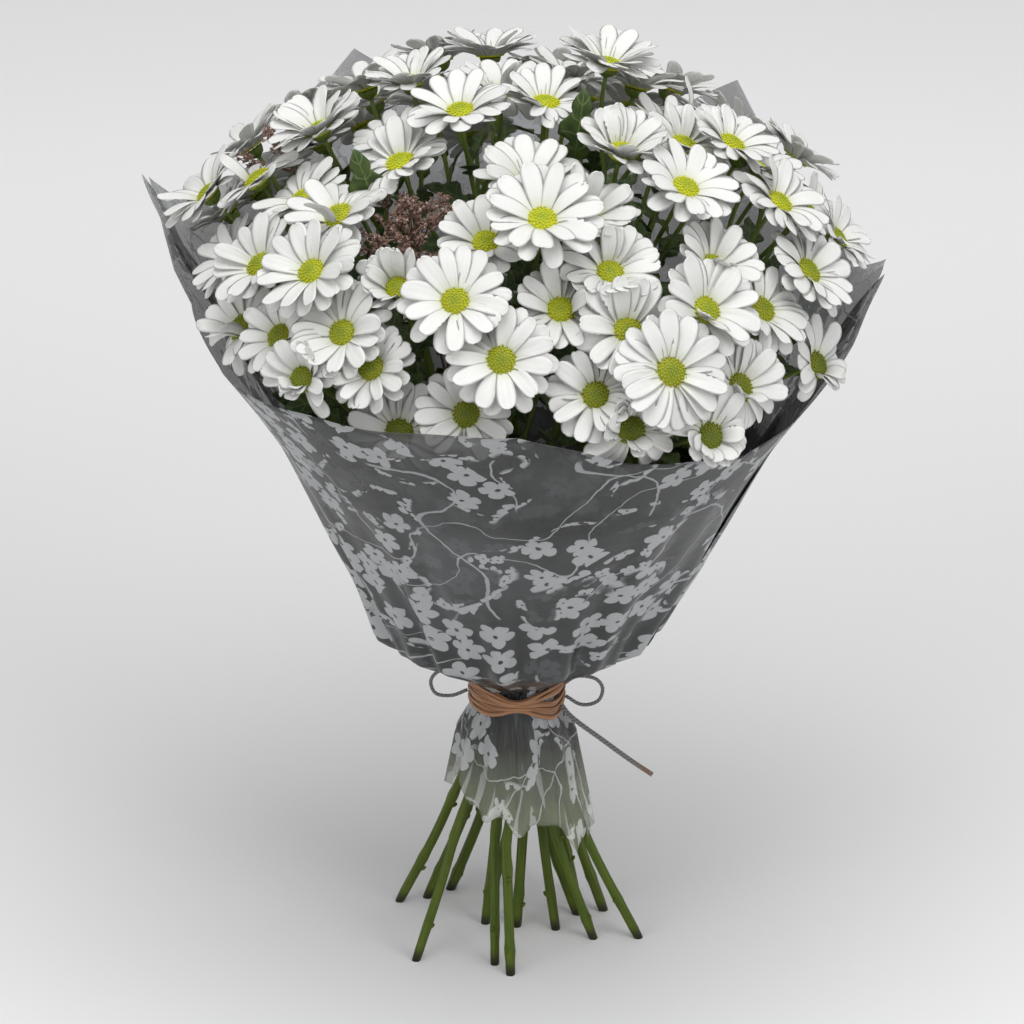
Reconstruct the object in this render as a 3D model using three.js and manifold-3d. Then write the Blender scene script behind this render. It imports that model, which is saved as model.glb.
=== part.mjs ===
// A hand-tied bunch of white spray chrysanthemums, wrapped in two sheets of film and bound with raffia.
// Millimetres, +Z up, front towards -Y. The origin is the middle of the innermost stem's cut end, on the
// level of all the cut ends, on which the bunch stands.
import * as THREE from "three";
import { mergeVertices } from "three/addons/utils/BufferGeometryUtils.js";
import Module from "manifold-3d";

const { degToRad: rad, lerp, clamp } = THREE.MathUtils;
const vec = (x, y, z) => new THREE.Vector3(x, y, z);
const around = (degrees, radius, z) =>
  vec(radius * Math.cos(rad(degrees)), radius * Math.sin(rad(degrees)), z);

// ---------------------------------------------------------------- driving dimensions

const GAP = 0.3; // clearance between neighbouring solids
const MERGE = 0.02; // edges shorter than this are dropped from a fused solid
const DOME = { radius: 226, rise: 190, height: 387 }; // the half ellipsoid on which the heads lie
const NECK = { height: 174, outer: 19.4, inner: 13.1 }; // where the stems cross, and their two rings there
const STEM = { radius: 3.1, sides: 6 };
const STALK = { radius: 1.4, sides: 4 };
const NODE_STEP = 8; // between one stalk's root and the next, down the stem
const HEAD = { radius: 31, root: 7.2, petals: 12, farPetals: 10, discHeight: 4.4 };
const CALYX = { radius: 6.6, depth: 5.5, below: 1.2 }; // its rim lies this far below the level of the petals
const PETAL = {
  shoulder: 0.8, // share of its length at which it is widest
  fill: 0.96, // share of its wedge that it fills
  arch: 1.3,
  ridge: 1,
  pitch: [rad(3), rad(15)], // of the lower and the upper row
  cup: rad(75), // how much further the petals of a closed head pitch up
  steepest: rad(80),
};
const STEEPNESS = 4; // how far the plane between two heads lies over when one stands above the other
const PAIRED_WITHIN = 60; // heads whose middles lie closer than this can be joined in twos
const LATTICE = { points: 90, spacing: 52, depth: 0.53, front: 20, lifts: [3, -7, -2] }; // of the far heads
const FILM = {
  thick: 0.8,
  column: 8, // degrees between two columns of points
  inset: 1.6, // of the back sheet, which lies inside the front one
  frontBulge: 0.18,
  backBulge: 0.11,
  lean: 0.045, // how much fuller it hangs on the right
  highestRow: 400,
  pleat: 1.2,
};
const BAND = { inner: 28.1, outer: 30.9, low: 165, high: 181, sides: 16 };
const CORD = { radius: 1.15, tailRadius: 1.6, sides: 6, loopSteps: 11, tailSteps: 7 };
const LEAF = { length: 50, width: 12, thick: 1.3, below: 14, apart: 7, fromFilm: 16 }; // on a stem
const TALL_LEAF = { length: 38, stalk: 33, width: 13, aside: 0.6 }; // its root stands aside of its stalk
const TWIG = { stem: 0.9, twig: 0.5, bud: 2.3, budVaries: 0.9, sides: 4, budSides: 3 };

// A viewer's window, 1024 wide and high, in front of the bunch: heads are placed on the dome by where they
// show in it.
const WINDOW = { elevation: rad(25), distance: 3200, scale: 5160, aimX: -3, aimZ: 294, middle: 512 };

// Heads in the window: [right, down, lift off the dome, opening (1 = flat), size]
const SEEN_HEADS = [
  [462, 124, 8, 1, 1.0],
  [323, 137, 5, 0.95, 0.95],
  [399, 158, -4, 0.8, 0.95],
  [258, 180, 0, 0.9, 0.95],
  [218, 203, 8, 0.95, 0.95],
  [337, 214, -2, 0.95, 1.0],
  [256, 262, -4, 0.85, 0.95],
  [320, 281, 10, 1, 1.0],
  [457, 308, 8, 1, 1.0],
  [394, 282, -8, 0.5, 0.85],
  [343, 334, 0, 0.9, 0.95],
  [368, 366, -6, 0.8, 0.85],
  [305, 380, 2, 0.75, 0.85],
  [388, 430, -20, 1, 0.95],
  [463, 410, -16, 0.85, 0.9],
  [502, 364, 6, 1, 0.98],
  [541, 233, 12, 1, 1.08],
  [485, 237, -6, 0.9, 0.9],
  [545, 104, 0, 0.8, 0.9],
  [604, 84, 12, 0.9, 1.05],
  [620, 158, 4, 0.75, 0.95],
  [680, 198, 8, 1, 0.98],
  [686, 140, -4, 0.85, 0.9],
  [725, 155, 8, 1, 0.9],
  [773, 210, 6, 1, 0.98],
  [628, 330, -2, 0.95, 1.0],
  [663, 377, 12, 1, 1.05],
  [598, 393, -8, 0.95, 0.9],
  [633, 428, -6, 1, 0.98],
  [708, 437, 2, 1, 0.98],
  [704, 312, 2, 0.9, 1.0],
  [745, 385, -6, 0.85, 0.9],
  [562, 303, -10, 0.85, 0.9],
  [612, 268, -6, 0.9, 0.95],
  [718, 262, -6, 0.8, 0.9],
  [808, 272, 0, 0.9, 0.95],
  [530, 172, -8, 0.9, 1.0],
  [588, 208, -6, 0.85, 0.95],
  [412, 86, 2, 0.85, 0.9],
  [272, 332, -8, 0.8, 0.8],
  [795, 158, 0, 0.85, 0.9],
  [248, 142, -4, 0.85, 0.9],
  [205, 190, -20, 0.75, 0.82],
  [500, 84, -6, 0.85, 0.9],
  [836, 238, 0, 0.8, 0.85],
];

// Sprigs of small dried flowers, seen in the same window: [right, down, lift, reach, number of buds], and how
// each stem finds room between the others: [degrees round at the neck, degrees round and radius half way up]
const SPRIGS = [
  [400, 222, -6, 27, 13, [248, 240, 40]],
  [280, 150, 6, 24, 6, [176, 180, 40]],
  [262, 350, -14, 20, 5, [216, 216, 40]],
];
const SPRIG_HALFWAY = 300;

// Leaves that stand up between the heads, seen in the same window: [right, down, lift of the tip]
const TALL_LEAVES = [
  [580, 118, 6],
  [364, 172, 4],
];

// Cut ends of the stems on the ground, [x, y], and which ring they pass through at the neck. Those of the
// outer ring are in order round it.
const OUTER_FEET = [
  [-64, -44],
  [-14, -49],
  [-4, -62],
  [49, -16],
  [78, -15],
  [56, 21],
  [38, 46],
  [-14, 58],
  [-43, 49],
  [-58, 38],
  [-76, 33],
];
const INNER_FEET = [
  [0, 0],
  [25, -4],
  [39, 16],
  [-20, 4],
];
const OUTER_TURN = rad(-193.3); // where the first stem of each ring passes the neck
const INNER_TURN = rad(-33);
const SPIRAL = rad(-65); // how far round each stem's spray lies from its place at the neck
const SPRAY = { outerPolar: rad(62), innerPolar: rad(24), outerDrop: 88, innerDrop: 98 };

// Profile of the film: [height, radius]
const FILM_PROFILE = [
  [80, 52],
  [146, 39],
  [165, 27.5],
  [181.5, 27.5],
  [196, 48],
  [220, 87],
  [262, 106],
  [362, 153],
  [465, 210],
  [560, 236],
];
// Heights of each sheet's upper edge: [degrees round from the front towards +X, height]
const FRONT_RIM = [
  [-96, 508],
  [-88, 484],
  [-80, 448],
  [-64, 430],
  [-32, 444],
  [0, 452],
  [16, 424],
  [40, 398],
  [56, 400],
  [64, 406],
  [80, 440],
  [88, 457],
];
const BACK_RIM = [
  [64, 406],
  [80, 440],
  [88, 457],
  [104, 452],
  [120, 462],
  [136, 480],
  [144, 508],
  [152, 486],
  [168, 478],
  [184, 480],
  [192, 490],
  [200, 516],
  [208, 494],
  [224, 470],
  [240, 464],
  [256, 480],
  [264, 508],
  [272, 484],
];
const SKIRT = { low: 97, slant: 17, wave: 5 }; // its lower edge hangs deeper on the right and is wavy

// Routes of the bow's two loops and of its loose end, which leave the band at its sides
const LOOP_LEFT = [
  vec(-30.8, -4, 179),
  vec(-37, -5, 186),
  vec(-48, -6, 187),
  vec(-54, -6, 180),
  vec(-51, -6, 171),
  vec(-41, -5, 169),
  vec(-31.1, -5, 173),
];
const LOOP_RIGHT = [
  vec(30.5, -5, 178),
  vec(38, -6, 183),
  vec(49, -7, 182),
  vec(54, -7, 175),
  vec(51, -7, 166),
  vec(41, -6, 163),
  vec(30.9, -6, 169),
];
const TAIL = [
  vec(27.6, -14.2, 166),
  vec(37, -20, 159),
  vec(53, -26, 149),
  vec(69, -32, 139),
  vec(85, -38, 130),
];

// ---------------------------------------------------------------- closed solids

const wasm = await Module();
wasm.setup();

function geometryOf(points, triangles) {
  const geometry = new THREE.BufferGeometry().setFromPoints(points);
  geometry.setIndex(triangles);
  return geometry;
}

function solidOf(geometry) {
  const bare = new THREE.BufferGeometry();
  bare.setAttribute("position", geometry.getAttribute("position"));
  bare.setIndex(geometry.index);
  const merged = mergeVertices(bare, 1e-4);
  return new wasm.Manifold(
    new wasm.Mesh({
      numProp: 3,
      vertProperties: new Float32Array(merged.attributes.position.array),
      triVerts: new Uint32Array(merged.index.array),
    }),
  );
}

function fuse(geometries) {
  const solids = geometries.map(solidOf);
  if (solids.some((solid) => solid.volume() <= 0)) {
    throw new Error("a piece is inside out");
  }
  const whole = solids.reduce((a, b) => a.add(b));
  const biggest = whole.decompose().reduce((a, b) => (a.volume() > b.volume() ? a : b));
  if (biggest.volume() < 0.99 * whole.volume()) {
    throw new Error("a piece lies loose of the solid that it should be joined to");
  }
  const mesh = biggest.simplify(MERGE).getMesh();
  const geometry = new THREE.BufferGeometry();
  geometry.setAttribute("position", new THREE.BufferAttribute(new Float32Array(mesh.vertProperties), 3));
  geometry.setIndex(new THREE.BufferAttribute(new Uint32Array(mesh.triVerts), 1));
  return geometry;
}

// Rings of equal length, joined in order and closed by flat ends.
function loft(rings) {
  const sides = rings[0].length;
  const triangles = [];
  for (let i = 0; i + 1 < rings.length; i++) {
    for (let j = 0; j < sides; j++) {
      const [a, b] = [i * sides + j, i * sides + ((j + 1) % sides)];
      triangles.push(a, b, b + sides, a, b + sides, a + sides);
    }
  }
  const last = (rings.length - 1) * sides;
  for (let j = 1; j + 1 < sides; j++) {
    triangles.push(0, j + 1, j);
    triangles.push(last, last + j, last + j + 1);
  }
  return geometryOf(rings.flat(), triangles);
}

// A tube through the points with a radius at each. Its first ring can lie level, as a stem cut flat does.
function tube(path, radii, sides, levelFoot = false) {
  let across = vec(1, 0.13, 0.07);
  const rings = path.map((point, i) => {
    const before = path[Math.max(i - 1, 0)];
    const after = path[Math.min(i + 1, path.length - 1)];
    const along = after.clone().sub(before).normalize();
    const normal = levelFoot && i === 0 ? vec(0, 0, 1) : along;
    across = across.clone().addScaledVector(normal, -across.dot(normal)).normalize();
    const other = normal.clone().cross(across);
    return Array.from({ length: sides }, (_, j) => {
      const turn = (2 * Math.PI * j) / sides;
      const reach = radii[i] ?? radii[0];
      return point
        .clone()
        .addScaledVector(across, reach * Math.cos(turn))
        .addScaledVector(other, reach * Math.sin(turn));
    });
  });
  return loft(rings);
}

function seeded(seed) {
  let state = seed;
  return () => {
    state = (state * 1664525 + 1013904223) % 4294967296;
    return state / 4294967296;
  };
}

// ---------------------------------------------------------------- places on the dome

function domePoint(azimuth, polar) {
  const { radius, rise, height } = DOME;
  return vec(
    radius * Math.sin(polar) * Math.cos(azimuth),
    radius * Math.sin(polar) * Math.sin(azimuth),
    height + rise * Math.cos(polar),
  );
}

// Where the viewer's line through a point of the window meets the dome, or passes it nearest.
function sighted(right, down) {
  const { elevation, distance, scale, aimX, aimZ, middle } = WINDOW;
  const eye = vec(aimX, -distance * Math.cos(elevation), aimZ + distance * Math.sin(elevation));
  const line = vec((right - middle) / scale, Math.cos(elevation), -Math.sin(elevation));
  line.addScaledVector(vec(0, Math.sin(elevation), Math.cos(elevation)), (middle - down) / scale);
  const squash = (v) => vec(v.x / DOME.radius, v.y / DOME.radius, v.z / DOME.rise);
  const from = squash(eye.clone().setZ(eye.z - DOME.height));
  const step = squash(line);
  const half = from.dot(step);
  const inside = Math.max(half * half - step.lengthSq() * (from.lengthSq() - 1), 0);
  return eye.addScaledVector(line, (-half - Math.sqrt(inside)) / step.lengthSq());
}

function outward(point) {
  const { radius, rise, height } = DOME;
  const normal = vec(point.x / radius ** 2, point.y / radius ** 2, (point.z - height) / rise ** 2);
  const spread = point.clone().sub(vec(0, 0, 200)).normalize();
  return normal.setLength(0.7).addScaledVector(spread, 0.3).normalize();
}

function placed(point, lift, rest) {
  const axis = outward(point);
  return { centre: point.clone().addScaledVector(axis, lift), axis, ...rest };
}

function seenHeads() {
  return SEEN_HEADS.map(([right, down, lift, opening, size]) =>
    placed(sighted(right, down), lift, { kind: "head", opening, size, petals: HEAD.petals }),
  );
}

// The far side of the dome is filled by an even lattice, wherever no head is near.
function farHeads(others) {
  const { points, spacing, depth, front, lifts } = LATTICE;
  const heads = [];
  for (let i = 0; i < points; i++) {
    const polar = Math.acos(1 - (depth * (i + 0.5)) / points);
    const point = domePoint(i * Math.PI * (3 - Math.sqrt(5)), polar);
    const near = [...others, ...heads].some((head) => head.centre.distanceTo(point) < spacing);
    if (point.y > front && !near) {
      heads.push(placed(point, lifts[heads.length % lifts.length], {
        kind: "head",
        opening: 0.92,
        size: 0.95,
        petals: HEAD.farPetals,
      }));
    }
  }
  return heads;
}

// ---------------------------------------------------------------- room between neighbours

// The plane between two neighbours. It stands upright between equal ones and lies over towards flat where
// one stands above the other, so that their petals can pass.
function divider(a, b) {
  const mean = a.axis.clone().add(b.axis).normalize();
  const step = b.centre.clone().sub(a.centre);
  const above = step.dot(mean);
  const normal = step.clone().addScaledVector(mean, (STEEPNESS - 1) * above).normalize();
  const middle = a.centre.clone().add(b.centre).multiplyScalar(0.5);
  return { normal, level: normal.dot(middle) - GAP / 2 - 0.05 };
}

function wallsOf(item, items) {
  const walls = [];
  for (const other of items) {
    const distance = other.centre.distanceTo(item.centre);
    if (other !== item && other !== item.partner && distance < 2.4 * HEAD.radius) {
      walls.push(divider(item, other));
    }
  }
  return walls;
}

function profileRadius(height) {
  let i = 1;
  while (i < FILM_PROFILE.length - 1 && FILM_PROFILE[i][0] < height) {
    i++;
  }
  const [[z0, r0], [z1, r1]] = [FILM_PROFILE[i - 1], FILM_PROFILE[i]];
  return lerp(r0, r1, (height - z0) / (z1 - z0));
}

// The film's radius at a turn from the front: it bulges at front and back, and hangs fuller on the right.
function filmRadius(turn, height) {
  const facing = Math.cos(turn);
  const bulge = facing > 0 ? FILM.frontBulge * facing : -FILM.backBulge * facing;
  const fuller = clamp((height - 225) / 40, 0, 1) * clamp((520 - height) / 90, 0, 1);
  const grown = clamp((height - 240) / 190, 0, 1);
  return profileRadius(height) * (1 + FILM.lean * Math.sin(turn) * fuller + bulge * grown);
}

function inFilm(point, margin = 4) {
  return Math.hypot(point.x, point.y) < filmRadius(Math.atan2(point.x, -point.y), point.z) - margin;
}

function fits(points, walls) {
  return points.every((p) => inFilm(p) && walls.every((wall) => wall.normal.dot(p) < wall.level));
}

// ---------------------------------------------------------------- heads

// A head's own frame, with its axis up and its first petal towards its partner.
function frameOf(item) {
  const ahead = item.partner ? item.partner.centre.clone().sub(item.centre) : vec(0.2, 0.1, 1);
  const east = ahead.addScaledVector(item.axis, -ahead.dot(item.axis)).normalize();
  const north = item.axis.clone().cross(east);
  return (x, y, z) =>
    item.centre.clone().addScaledVector(east, x).addScaledVector(north, y).addScaledVector(item.axis, z);
}

// Outline and middle of one petal that leaves the disc at an angle, leaning up by a pitch.
function petalPoints(head, at, turn, pitch, length) {
  const { root, radius } = HEAD;
  const wedge = Math.tan(Math.PI / head.petals) * PETAL.fill;
  const reach = (radius * head.size - root) * length;
  const point = (share, side, rise = 0) => {
    const out = root + reach * share * Math.cos(pitch) - rise * Math.sin(pitch);
    const arch = PETAL.arch * Math.sin(Math.PI * share);
    const up = reach * share * Math.sin(pitch) + arch + rise * Math.cos(pitch);
    const aside = out * wedge * side;
    const [east, north] = [Math.cos(turn), Math.sin(turn)];
    return at(out * east - aside * north, out * north + aside * east, up);
  };
  const { shoulder, ridge } = PETAL;
  return {
    outline: [point(shoulder, -0.9), point(1, 0), point(shoulder, 0.9)],
    middle: point(0.6, 0, ridge),
  };
}

// The lean and length nearest to a petal's natural ones that keep it clear of what is around it.
function settle(head, at, turn, natural, walls) {
  const LENGTHS = [1, 0.93, 0.86, 0.78, 0.7, 0.6, 0.5, 0.4];
  const [lowest, highest] = [-8, 14];
  let best = null;
  for (const length of LENGTHS) {
    for (let step = lowest; step <= highest; step++) {
      const pitch = natural + step * rad(5);
      const cost = Math.abs(step) + (1 - length) * 30;
      if (pitch > PETAL.steepest || (best && cost >= best.cost)) {
        continue;
      }
      const petal = petalPoints(head, at, turn, pitch, length);
      if (fits([...petal.outline, petal.middle], walls)) {
        best = { cost, petal };
      }
    }
  }
  return (best ?? { petal: petalPoints(head, at, turn, natural + rad(30), 0.35) }).petal;
}

// The pitch and length of the petal that runs into the partner's, midway between the two.
function reachOut(head) {
  const half = head.partner.centre.clone().sub(head.centre).multiplyScalar(0.5);
  const up = half.dot(head.axis);
  const out = Math.sqrt(half.lengthSq() - up * up) - HEAD.root;
  const length = (Math.hypot(out, up) + 4) / (HEAD.radius * head.size - HEAD.root);
  return [Math.atan2(up - 0.8, out), length];
}

function headGeometry(head, walls) {
  const at = frameOf(head);
  const { root, discHeight } = HEAD;
  const { petals } = head;
  const points = [];
  const triangles = [];
  const add = (p) => points.push(p) - 1;
  const ring = (radius, height, count, shift) =>
    Array.from({ length: count }, (_, k) => {
      const turn = (2 * Math.PI * (k + shift)) / count;
      return add(at(radius * Math.cos(turn), radius * Math.sin(turn), height));
    });
  const top = ring(root, 0.7, petals, 0.5);
  const bottom = ring(root, -0.8, petals, 0.5);
  const crown = add(at(0, 0, discHeight));
  const under = add(at(0, 0, -1));
  const outlines = Array.from({ length: petals }, (_, k) => {
    const natural = PETAL.pitch[(k + 1) % 2] + (1 - head.opening) * PETAL.cup;
    const turn = (2 * Math.PI * k) / petals;
    const petal = k === 0 && head.partner
      ? petalPoints(head, at, turn, ...reachOut(head))
      : settle(head, at, turn, natural, walls);
    return { middle: add(petal.middle), outline: petal.outline.map(add) };
  });
  for (let k = 0; k < petals; k++) {
    const before = (k + petals - 1) % petals;
    const { middle, outline } = outlines[k];
    const round = [top[before], ...outline, top[k]];
    round.forEach((p, i) => triangles.push(middle, p, round[(i + 1) % round.length]));
    const below = [bottom[before], ...outline, bottom[k]];
    for (let i = 1; i + 1 < below.length; i++) {
      triangles.push(bottom[before], below[i + 1], below[i]);
    }
    triangles.push(top[k], outline.at(-1), bottom[k]);
    triangles.push(top[k], bottom[k], outlines[(k + 1) % petals].outline[0]);
    triangles.push(under, bottom[k], bottom[before]);
    triangles.push(crown, top[before], top[k]);
  }
  return geometryOf(points, triangles);
}

// Heads are joined in twos where their petals lie over each other, those of one spray first.
function pairHeads(heads) {
  const pairs = heads.flatMap((a, i) =>
    heads.slice(i + 1).map((b) => {
      const distance = a.centre.distanceTo(b.centre);
      return { a, b, distance, cost: distance + (a.spray === b.spray ? 0 : 30) };
    }),
  );
  pairs.sort((p, q) => p.cost - q.cost);
  for (const { a, b, distance } of pairs) {
    if (distance < PAIRED_WITHIN && !a.partner && !b.partner) {
      a.partner = b;
      b.partner = a;
    }
  }
}

// ---------------------------------------------------------------- stems, stalks and leaves

function makeSprays() {
  const ring = (feet, radius, turn, polar, drop) =>
    feet.map(([x, y], k) => {
      const at = turn + (2 * Math.PI * k) / feet.length;
      const neck = vec(radius * Math.cos(at), radius * Math.sin(at), NECK.height);
      const middle = domePoint(at + SPIRAL, polar);
      const fork = middle.clone().add(neck.clone().sub(middle).setLength(drop));
      return { foot: vec(x, y, 0), neck, middle, fork, leafy: radius === NECK.outer };
    });
  return [
    ...ring(INNER_FEET, NECK.inner, INNER_TURN, SPRAY.innerPolar, SPRAY.innerDrop),
    ...ring(OUTER_FEET, NECK.outer, OUTER_TURN, SPRAY.outerPolar, SPRAY.outerDrop),
  ];
}

// A stem runs straight from its cut end through the neck and bends outward to where its stalks part.
function stemGeometry(spray) {
  const { foot, neck, fork } = spray;
  const lower = foot.clone().lerp(neck, 0.42).multiply(vec(0.9, 0.9, 1));
  const path = [foot, lower, neck, fork];
  return tube(path, [STEM.radius, STEM.radius * 1.1, STEM.radius, 2.3], STEM.sides, true);
}

// A stalk leaves the fork along the stem, comes up square to its head and widens into the calyx.
function stalkGeometry(spray, item, order, root, calyx) {
  const rise = spray.fork.clone().sub(spray.neck).normalize();
  const start = spray.fork.clone().addScaledVector(rise, -3 - NODE_STEP * order);
  const end = item.centre.clone().addScaledVector(item.axis, -root);
  const bend = end.clone().addScaledVector(item.axis, -0.45 * item.centre.distanceTo(start));
  const curve = new THREE.QuadraticBezierCurve3(start, bend, end);
  const path = [0, 0.55, 1].map((t) => curve.getPoint(t));
  const radii = [STALK.radius * 1.1, STALK.radius, STALK.radius * 1.3];
  if (calyx) {
    path.push(end.clone().addScaledVector(item.axis, calyx.depth));
    radii.push(calyx.radius);
  }
  return tube(path, radii, STALK.sides);
}

// A blade cut into rounded lobes: half widths along its length. It is thickest along the midrib.
function leafGeometry(base, tip, facing, width) {
  const LOBES = [
    [0, 0.1],
    [0.26, 0.76],
    [0.38, 0.42],
    [0.6, 1],
    [0.76, 0.46],
  ];
  const length = base.distanceTo(tip);
  const forward = tip.clone().sub(base).normalize();
  const aside = forward.clone().cross(facing).normalize();
  const up = aside.clone().cross(forward);
  const place = (share, side, rise) =>
    base
      .clone()
      .addScaledVector(forward, share * length)
      .addScaledVector(aside, side * width)
      .addScaledVector(up, rise + length * 0.1 * Math.sin(Math.PI * share));
  const sections = LOBES.map(([share, half]) => [
    place(share, -half, 0),
    place(share, 0, LEAF.thick),
    place(share, half, 0),
  ]);
  return loft([...sections, [place(1, -0.02, 0), place(1, 0, 0.3), place(1, 0.02, 0)]]);
}

// Two leaves sit on the stem, below the lowest stalk, and spread to either side of it.
function stemLeaves(spray, stalks, seed) {
  const random = seeded(seed);
  const rise = spray.fork.clone().sub(spray.neck).normalize();
  const out = spray.middle.clone().setZ(0).normalize();
  const side = rise.clone().cross(out).normalize();
  return [-1, 1].map((hand) => {
    const below = LEAF.below + NODE_STEP * stalks + LEAF.apart * hand;
    const root = spray.fork.clone().addScaledVector(rise, -below);
    const lean = side.clone().multiplyScalar(hand * (0.42 + 0.15 * random()));
    lean.addScaledVector(out, 0.3).addScaledVector(rise, 1).normalize();
    const tip = root.clone().addScaledVector(lean, LEAF.length + 8 * random());
    while (!inFilm(tip, LEAF.fromFilm)) {
      tip.multiply(vec(0.98, 0.98, 1));
    }
    return leafGeometry(root, tip, out.clone().negate(), LEAF.width + 2 * random());
  });
}

function sprayGeometry(spray, items, seed) {
  const pieces = [stemGeometry(spray), ...(spray.leafy ? stemLeaves(spray, items.length, seed) : [])];
  for (const [i, item] of items.entries()) {
    if (item.kind === "head") {
      const radius = CALYX.radius * item.size;
      const root = CALYX.depth + CALYX.below + GAP;
      pieces.push(stalkGeometry(spray, item, i, root, { radius, depth: CALYX.depth }));
    } else {
      pieces.push(stalkGeometry(spray, item, i, TALL_LEAF.stalk, null));
      const foot = item.centre.clone().addScaledVector(item.axis, -TALL_LEAF.length);
      foot.x += TALL_LEAF.aside;
      pieces.push(leafGeometry(foot, item.centre, vec(0, -1, 0), TALL_LEAF.width));
    }
  }
  return fuse(pieces);
}

// ---------------------------------------------------------------- dried sprigs

// A wiry stem from inside the neck to a clump of twigs, each with a bud at its end.
function sprigGeometry(sprig, seed, walls) {
  const random = seeded(seed);
  const at = frameOf(sprig);
  const hub = at(0, 0, -sprig.reach * 1.4);
  const [neckTurn, wayTurn, wayRadius] = sprig.way;
  const between = (NECK.inner + NECK.outer) / 2;
  const foot = around(neckTurn, between, NECK.height - 20);
  const neck = around(neckTurn, between, NECK.height);
  const way = around(wayTurn, wayRadius, SPRIG_HALFWAY);
  const top = at(0, 0, -sprig.reach * 0.3);
  const { stem, twig } = TWIG;
  const pieces = [tube([foot, neck, way, hub, top], [stem, stem, stem, stem, twig], TWIG.sides)];
  const clear = walls.map(({ normal, level }) => ({ normal, level: level - TWIG.bud - TWIG.budVaries }));
  let made = 0;
  for (let tries = 0; made < sprig.buds && tries < 400; tries++) {
    const turn = 2 * Math.PI * random();
    const out = sprig.reach * Math.sqrt(random());
    const bud = at(out * Math.cos(turn), out * Math.sin(turn), (random() - 0.6) * 12 - out * 0.2);
    if (!fits([bud], clear)) {
      continue;
    }
    const size = TWIG.bud + TWIG.budVaries * random();
    const back = hub.clone().lerp(top, 0.95 * random());
    const ahead = bud.clone().sub(back).setLength(size);
    const path = [back, bud.clone().sub(ahead), bud, bud.clone().add(ahead)];
    pieces.push(tube(path, [twig, 0.6, size, 0.7], TWIG.budSides));
    made++;
  }
  return fuse(pieces);
}

// ---------------------------------------------------------------- film, raffia and cords

function rimHeight(rim, turn) {
  let i = 1;
  while (i < rim.length - 1 && rim[i][0] < turn) {
    i++;
  }
  const [[t0, z0], [t1, z1]] = [rim[i - 1], rim[i]];
  return lerp(z0, z1, clamp((turn - t0) / (t1 - t0), 0, 1));
}

// One sheet of film, gathered at the neck, with its skirt below. Inset is how far it lies inside the profile.
function filmGeometry(rim, inset) {
  const from = rim[0][0];
  const count = Math.round((rim.at(-1)[0] - from) / FILM.column);
  const heights = FILM_PROFILE.map(([z]) => z);
  const columns = Array.from({ length: count + 1 }, (_, c) => {
    const degrees = from + c * FILM.column;
    const turn = rad(degrees);
    const top = rimHeight(rim, degrees);
    const foot = SKIRT.low - SKIRT.slant * Math.sin(turn) + SKIRT.wave * Math.sin(5 * turn);
    const pleat = Math.round(((degrees + 360) % 360) / FILM.column) % 2 ? 1 : -1;
    const levels = heights.filter((z) => z > SKIRT.low + SKIRT.slant && z < FILM.highestRow);
    const rows = [foot, ...levels, top];
    return rows.map((z) => {
      const loose = z > NECK.height ? (z - BAND.high) / 60 : (BAND.low - z) / 30;
      const fold = pleat * FILM.pleat * clamp(loose, 0, 1) * clamp((350 - z) / 90, 0, 1);
      const r = filmRadius(turn, z) - inset + fold;
      return [r, z, turn];
    });
  });
  const place = ([r, z, turn], depth) => vec((r - depth) * Math.sin(turn), -(r - depth) * Math.cos(turn), z);
  return sheet(
    columns.map((rows) => rows.map((row) => place(row, 0))),
    columns.map((rows) => rows.map((row) => place(row, FILM.thick))),
  );
}

// A thin solid between two grids of points, split alike on both faces. The first grid is the outer face.
function sheet(outer, inner) {
  const [width, height] = [outer.length, outer[0].length];
  const triangles = [];
  const quad = (a, b, c, d) => triangles.push(a, b, c, a, c, d);
  const at = (i, j, side) => side * width * height + i * height + j;
  for (let i = 0; i + 1 < width; i++) {
    for (let j = 0; j + 1 < height; j++) {
      quad(at(i, j, 0), at(i + 1, j, 0), at(i + 1, j + 1, 0), at(i, j + 1, 0));
      triangles.push(at(i, j, 1), at(i + 1, j + 1, 1), at(i + 1, j, 1));
      triangles.push(at(i, j, 1), at(i, j + 1, 1), at(i + 1, j + 1, 1));
    }
    quad(at(i, 0, 1), at(i + 1, 0, 1), at(i + 1, 0, 0), at(i, 0, 0));
    quad(at(i, height - 1, 0), at(i + 1, height - 1, 0), at(i + 1, height - 1, 1), at(i, height - 1, 1));
  }
  for (let j = 0; j + 1 < height; j++) {
    quad(at(0, j, 1), at(0, j, 0), at(0, j + 1, 0), at(0, j + 1, 1));
    quad(at(width - 1, j, 0), at(width - 1, j, 1), at(width - 1, j + 1, 1), at(width - 1, j + 1, 0));
  }
  return geometryOf([...outer.flat(), ...inner.flat()], triangles);
}

function bandGeometry() {
  const { inner, outer, low, high } = BAND;
  const middle = (low + high) / 2;
  const profile = [
    [inner, low],
    [outer - 1, low],
    [outer, middle],
    [outer - 1, high],
    [inner, high],
  ];
  const rings = Array.from({ length: BAND.sides }, (_, k) => {
    const turn = (2 * Math.PI * k) / BAND.sides;
    return profile.map(([r, z]) => vec(r * Math.cos(turn), r * Math.sin(turn), z));
  });
  const sides = profile.length;
  const triangles = [];
  rings.forEach((_, i) => {
    for (let j = 0; j < sides; j++) {
      const next = ((i + 1) % rings.length) * sides;
      const [a, b] = [i * sides + j, i * sides + ((j + 1) % sides)];
      triangles.push(a, next + j, b, b, next + j, next + ((j + 1) % sides));
    }
  });
  return geometryOf(rings.flat(), triangles);
}

function cordGeometry(points, radius, steps) {
  return tube(new THREE.CatmullRomCurve3(points).getSpacedPoints(steps), [radius], CORD.sides);
}

// ---------------------------------------------------------------- the bunch

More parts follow.
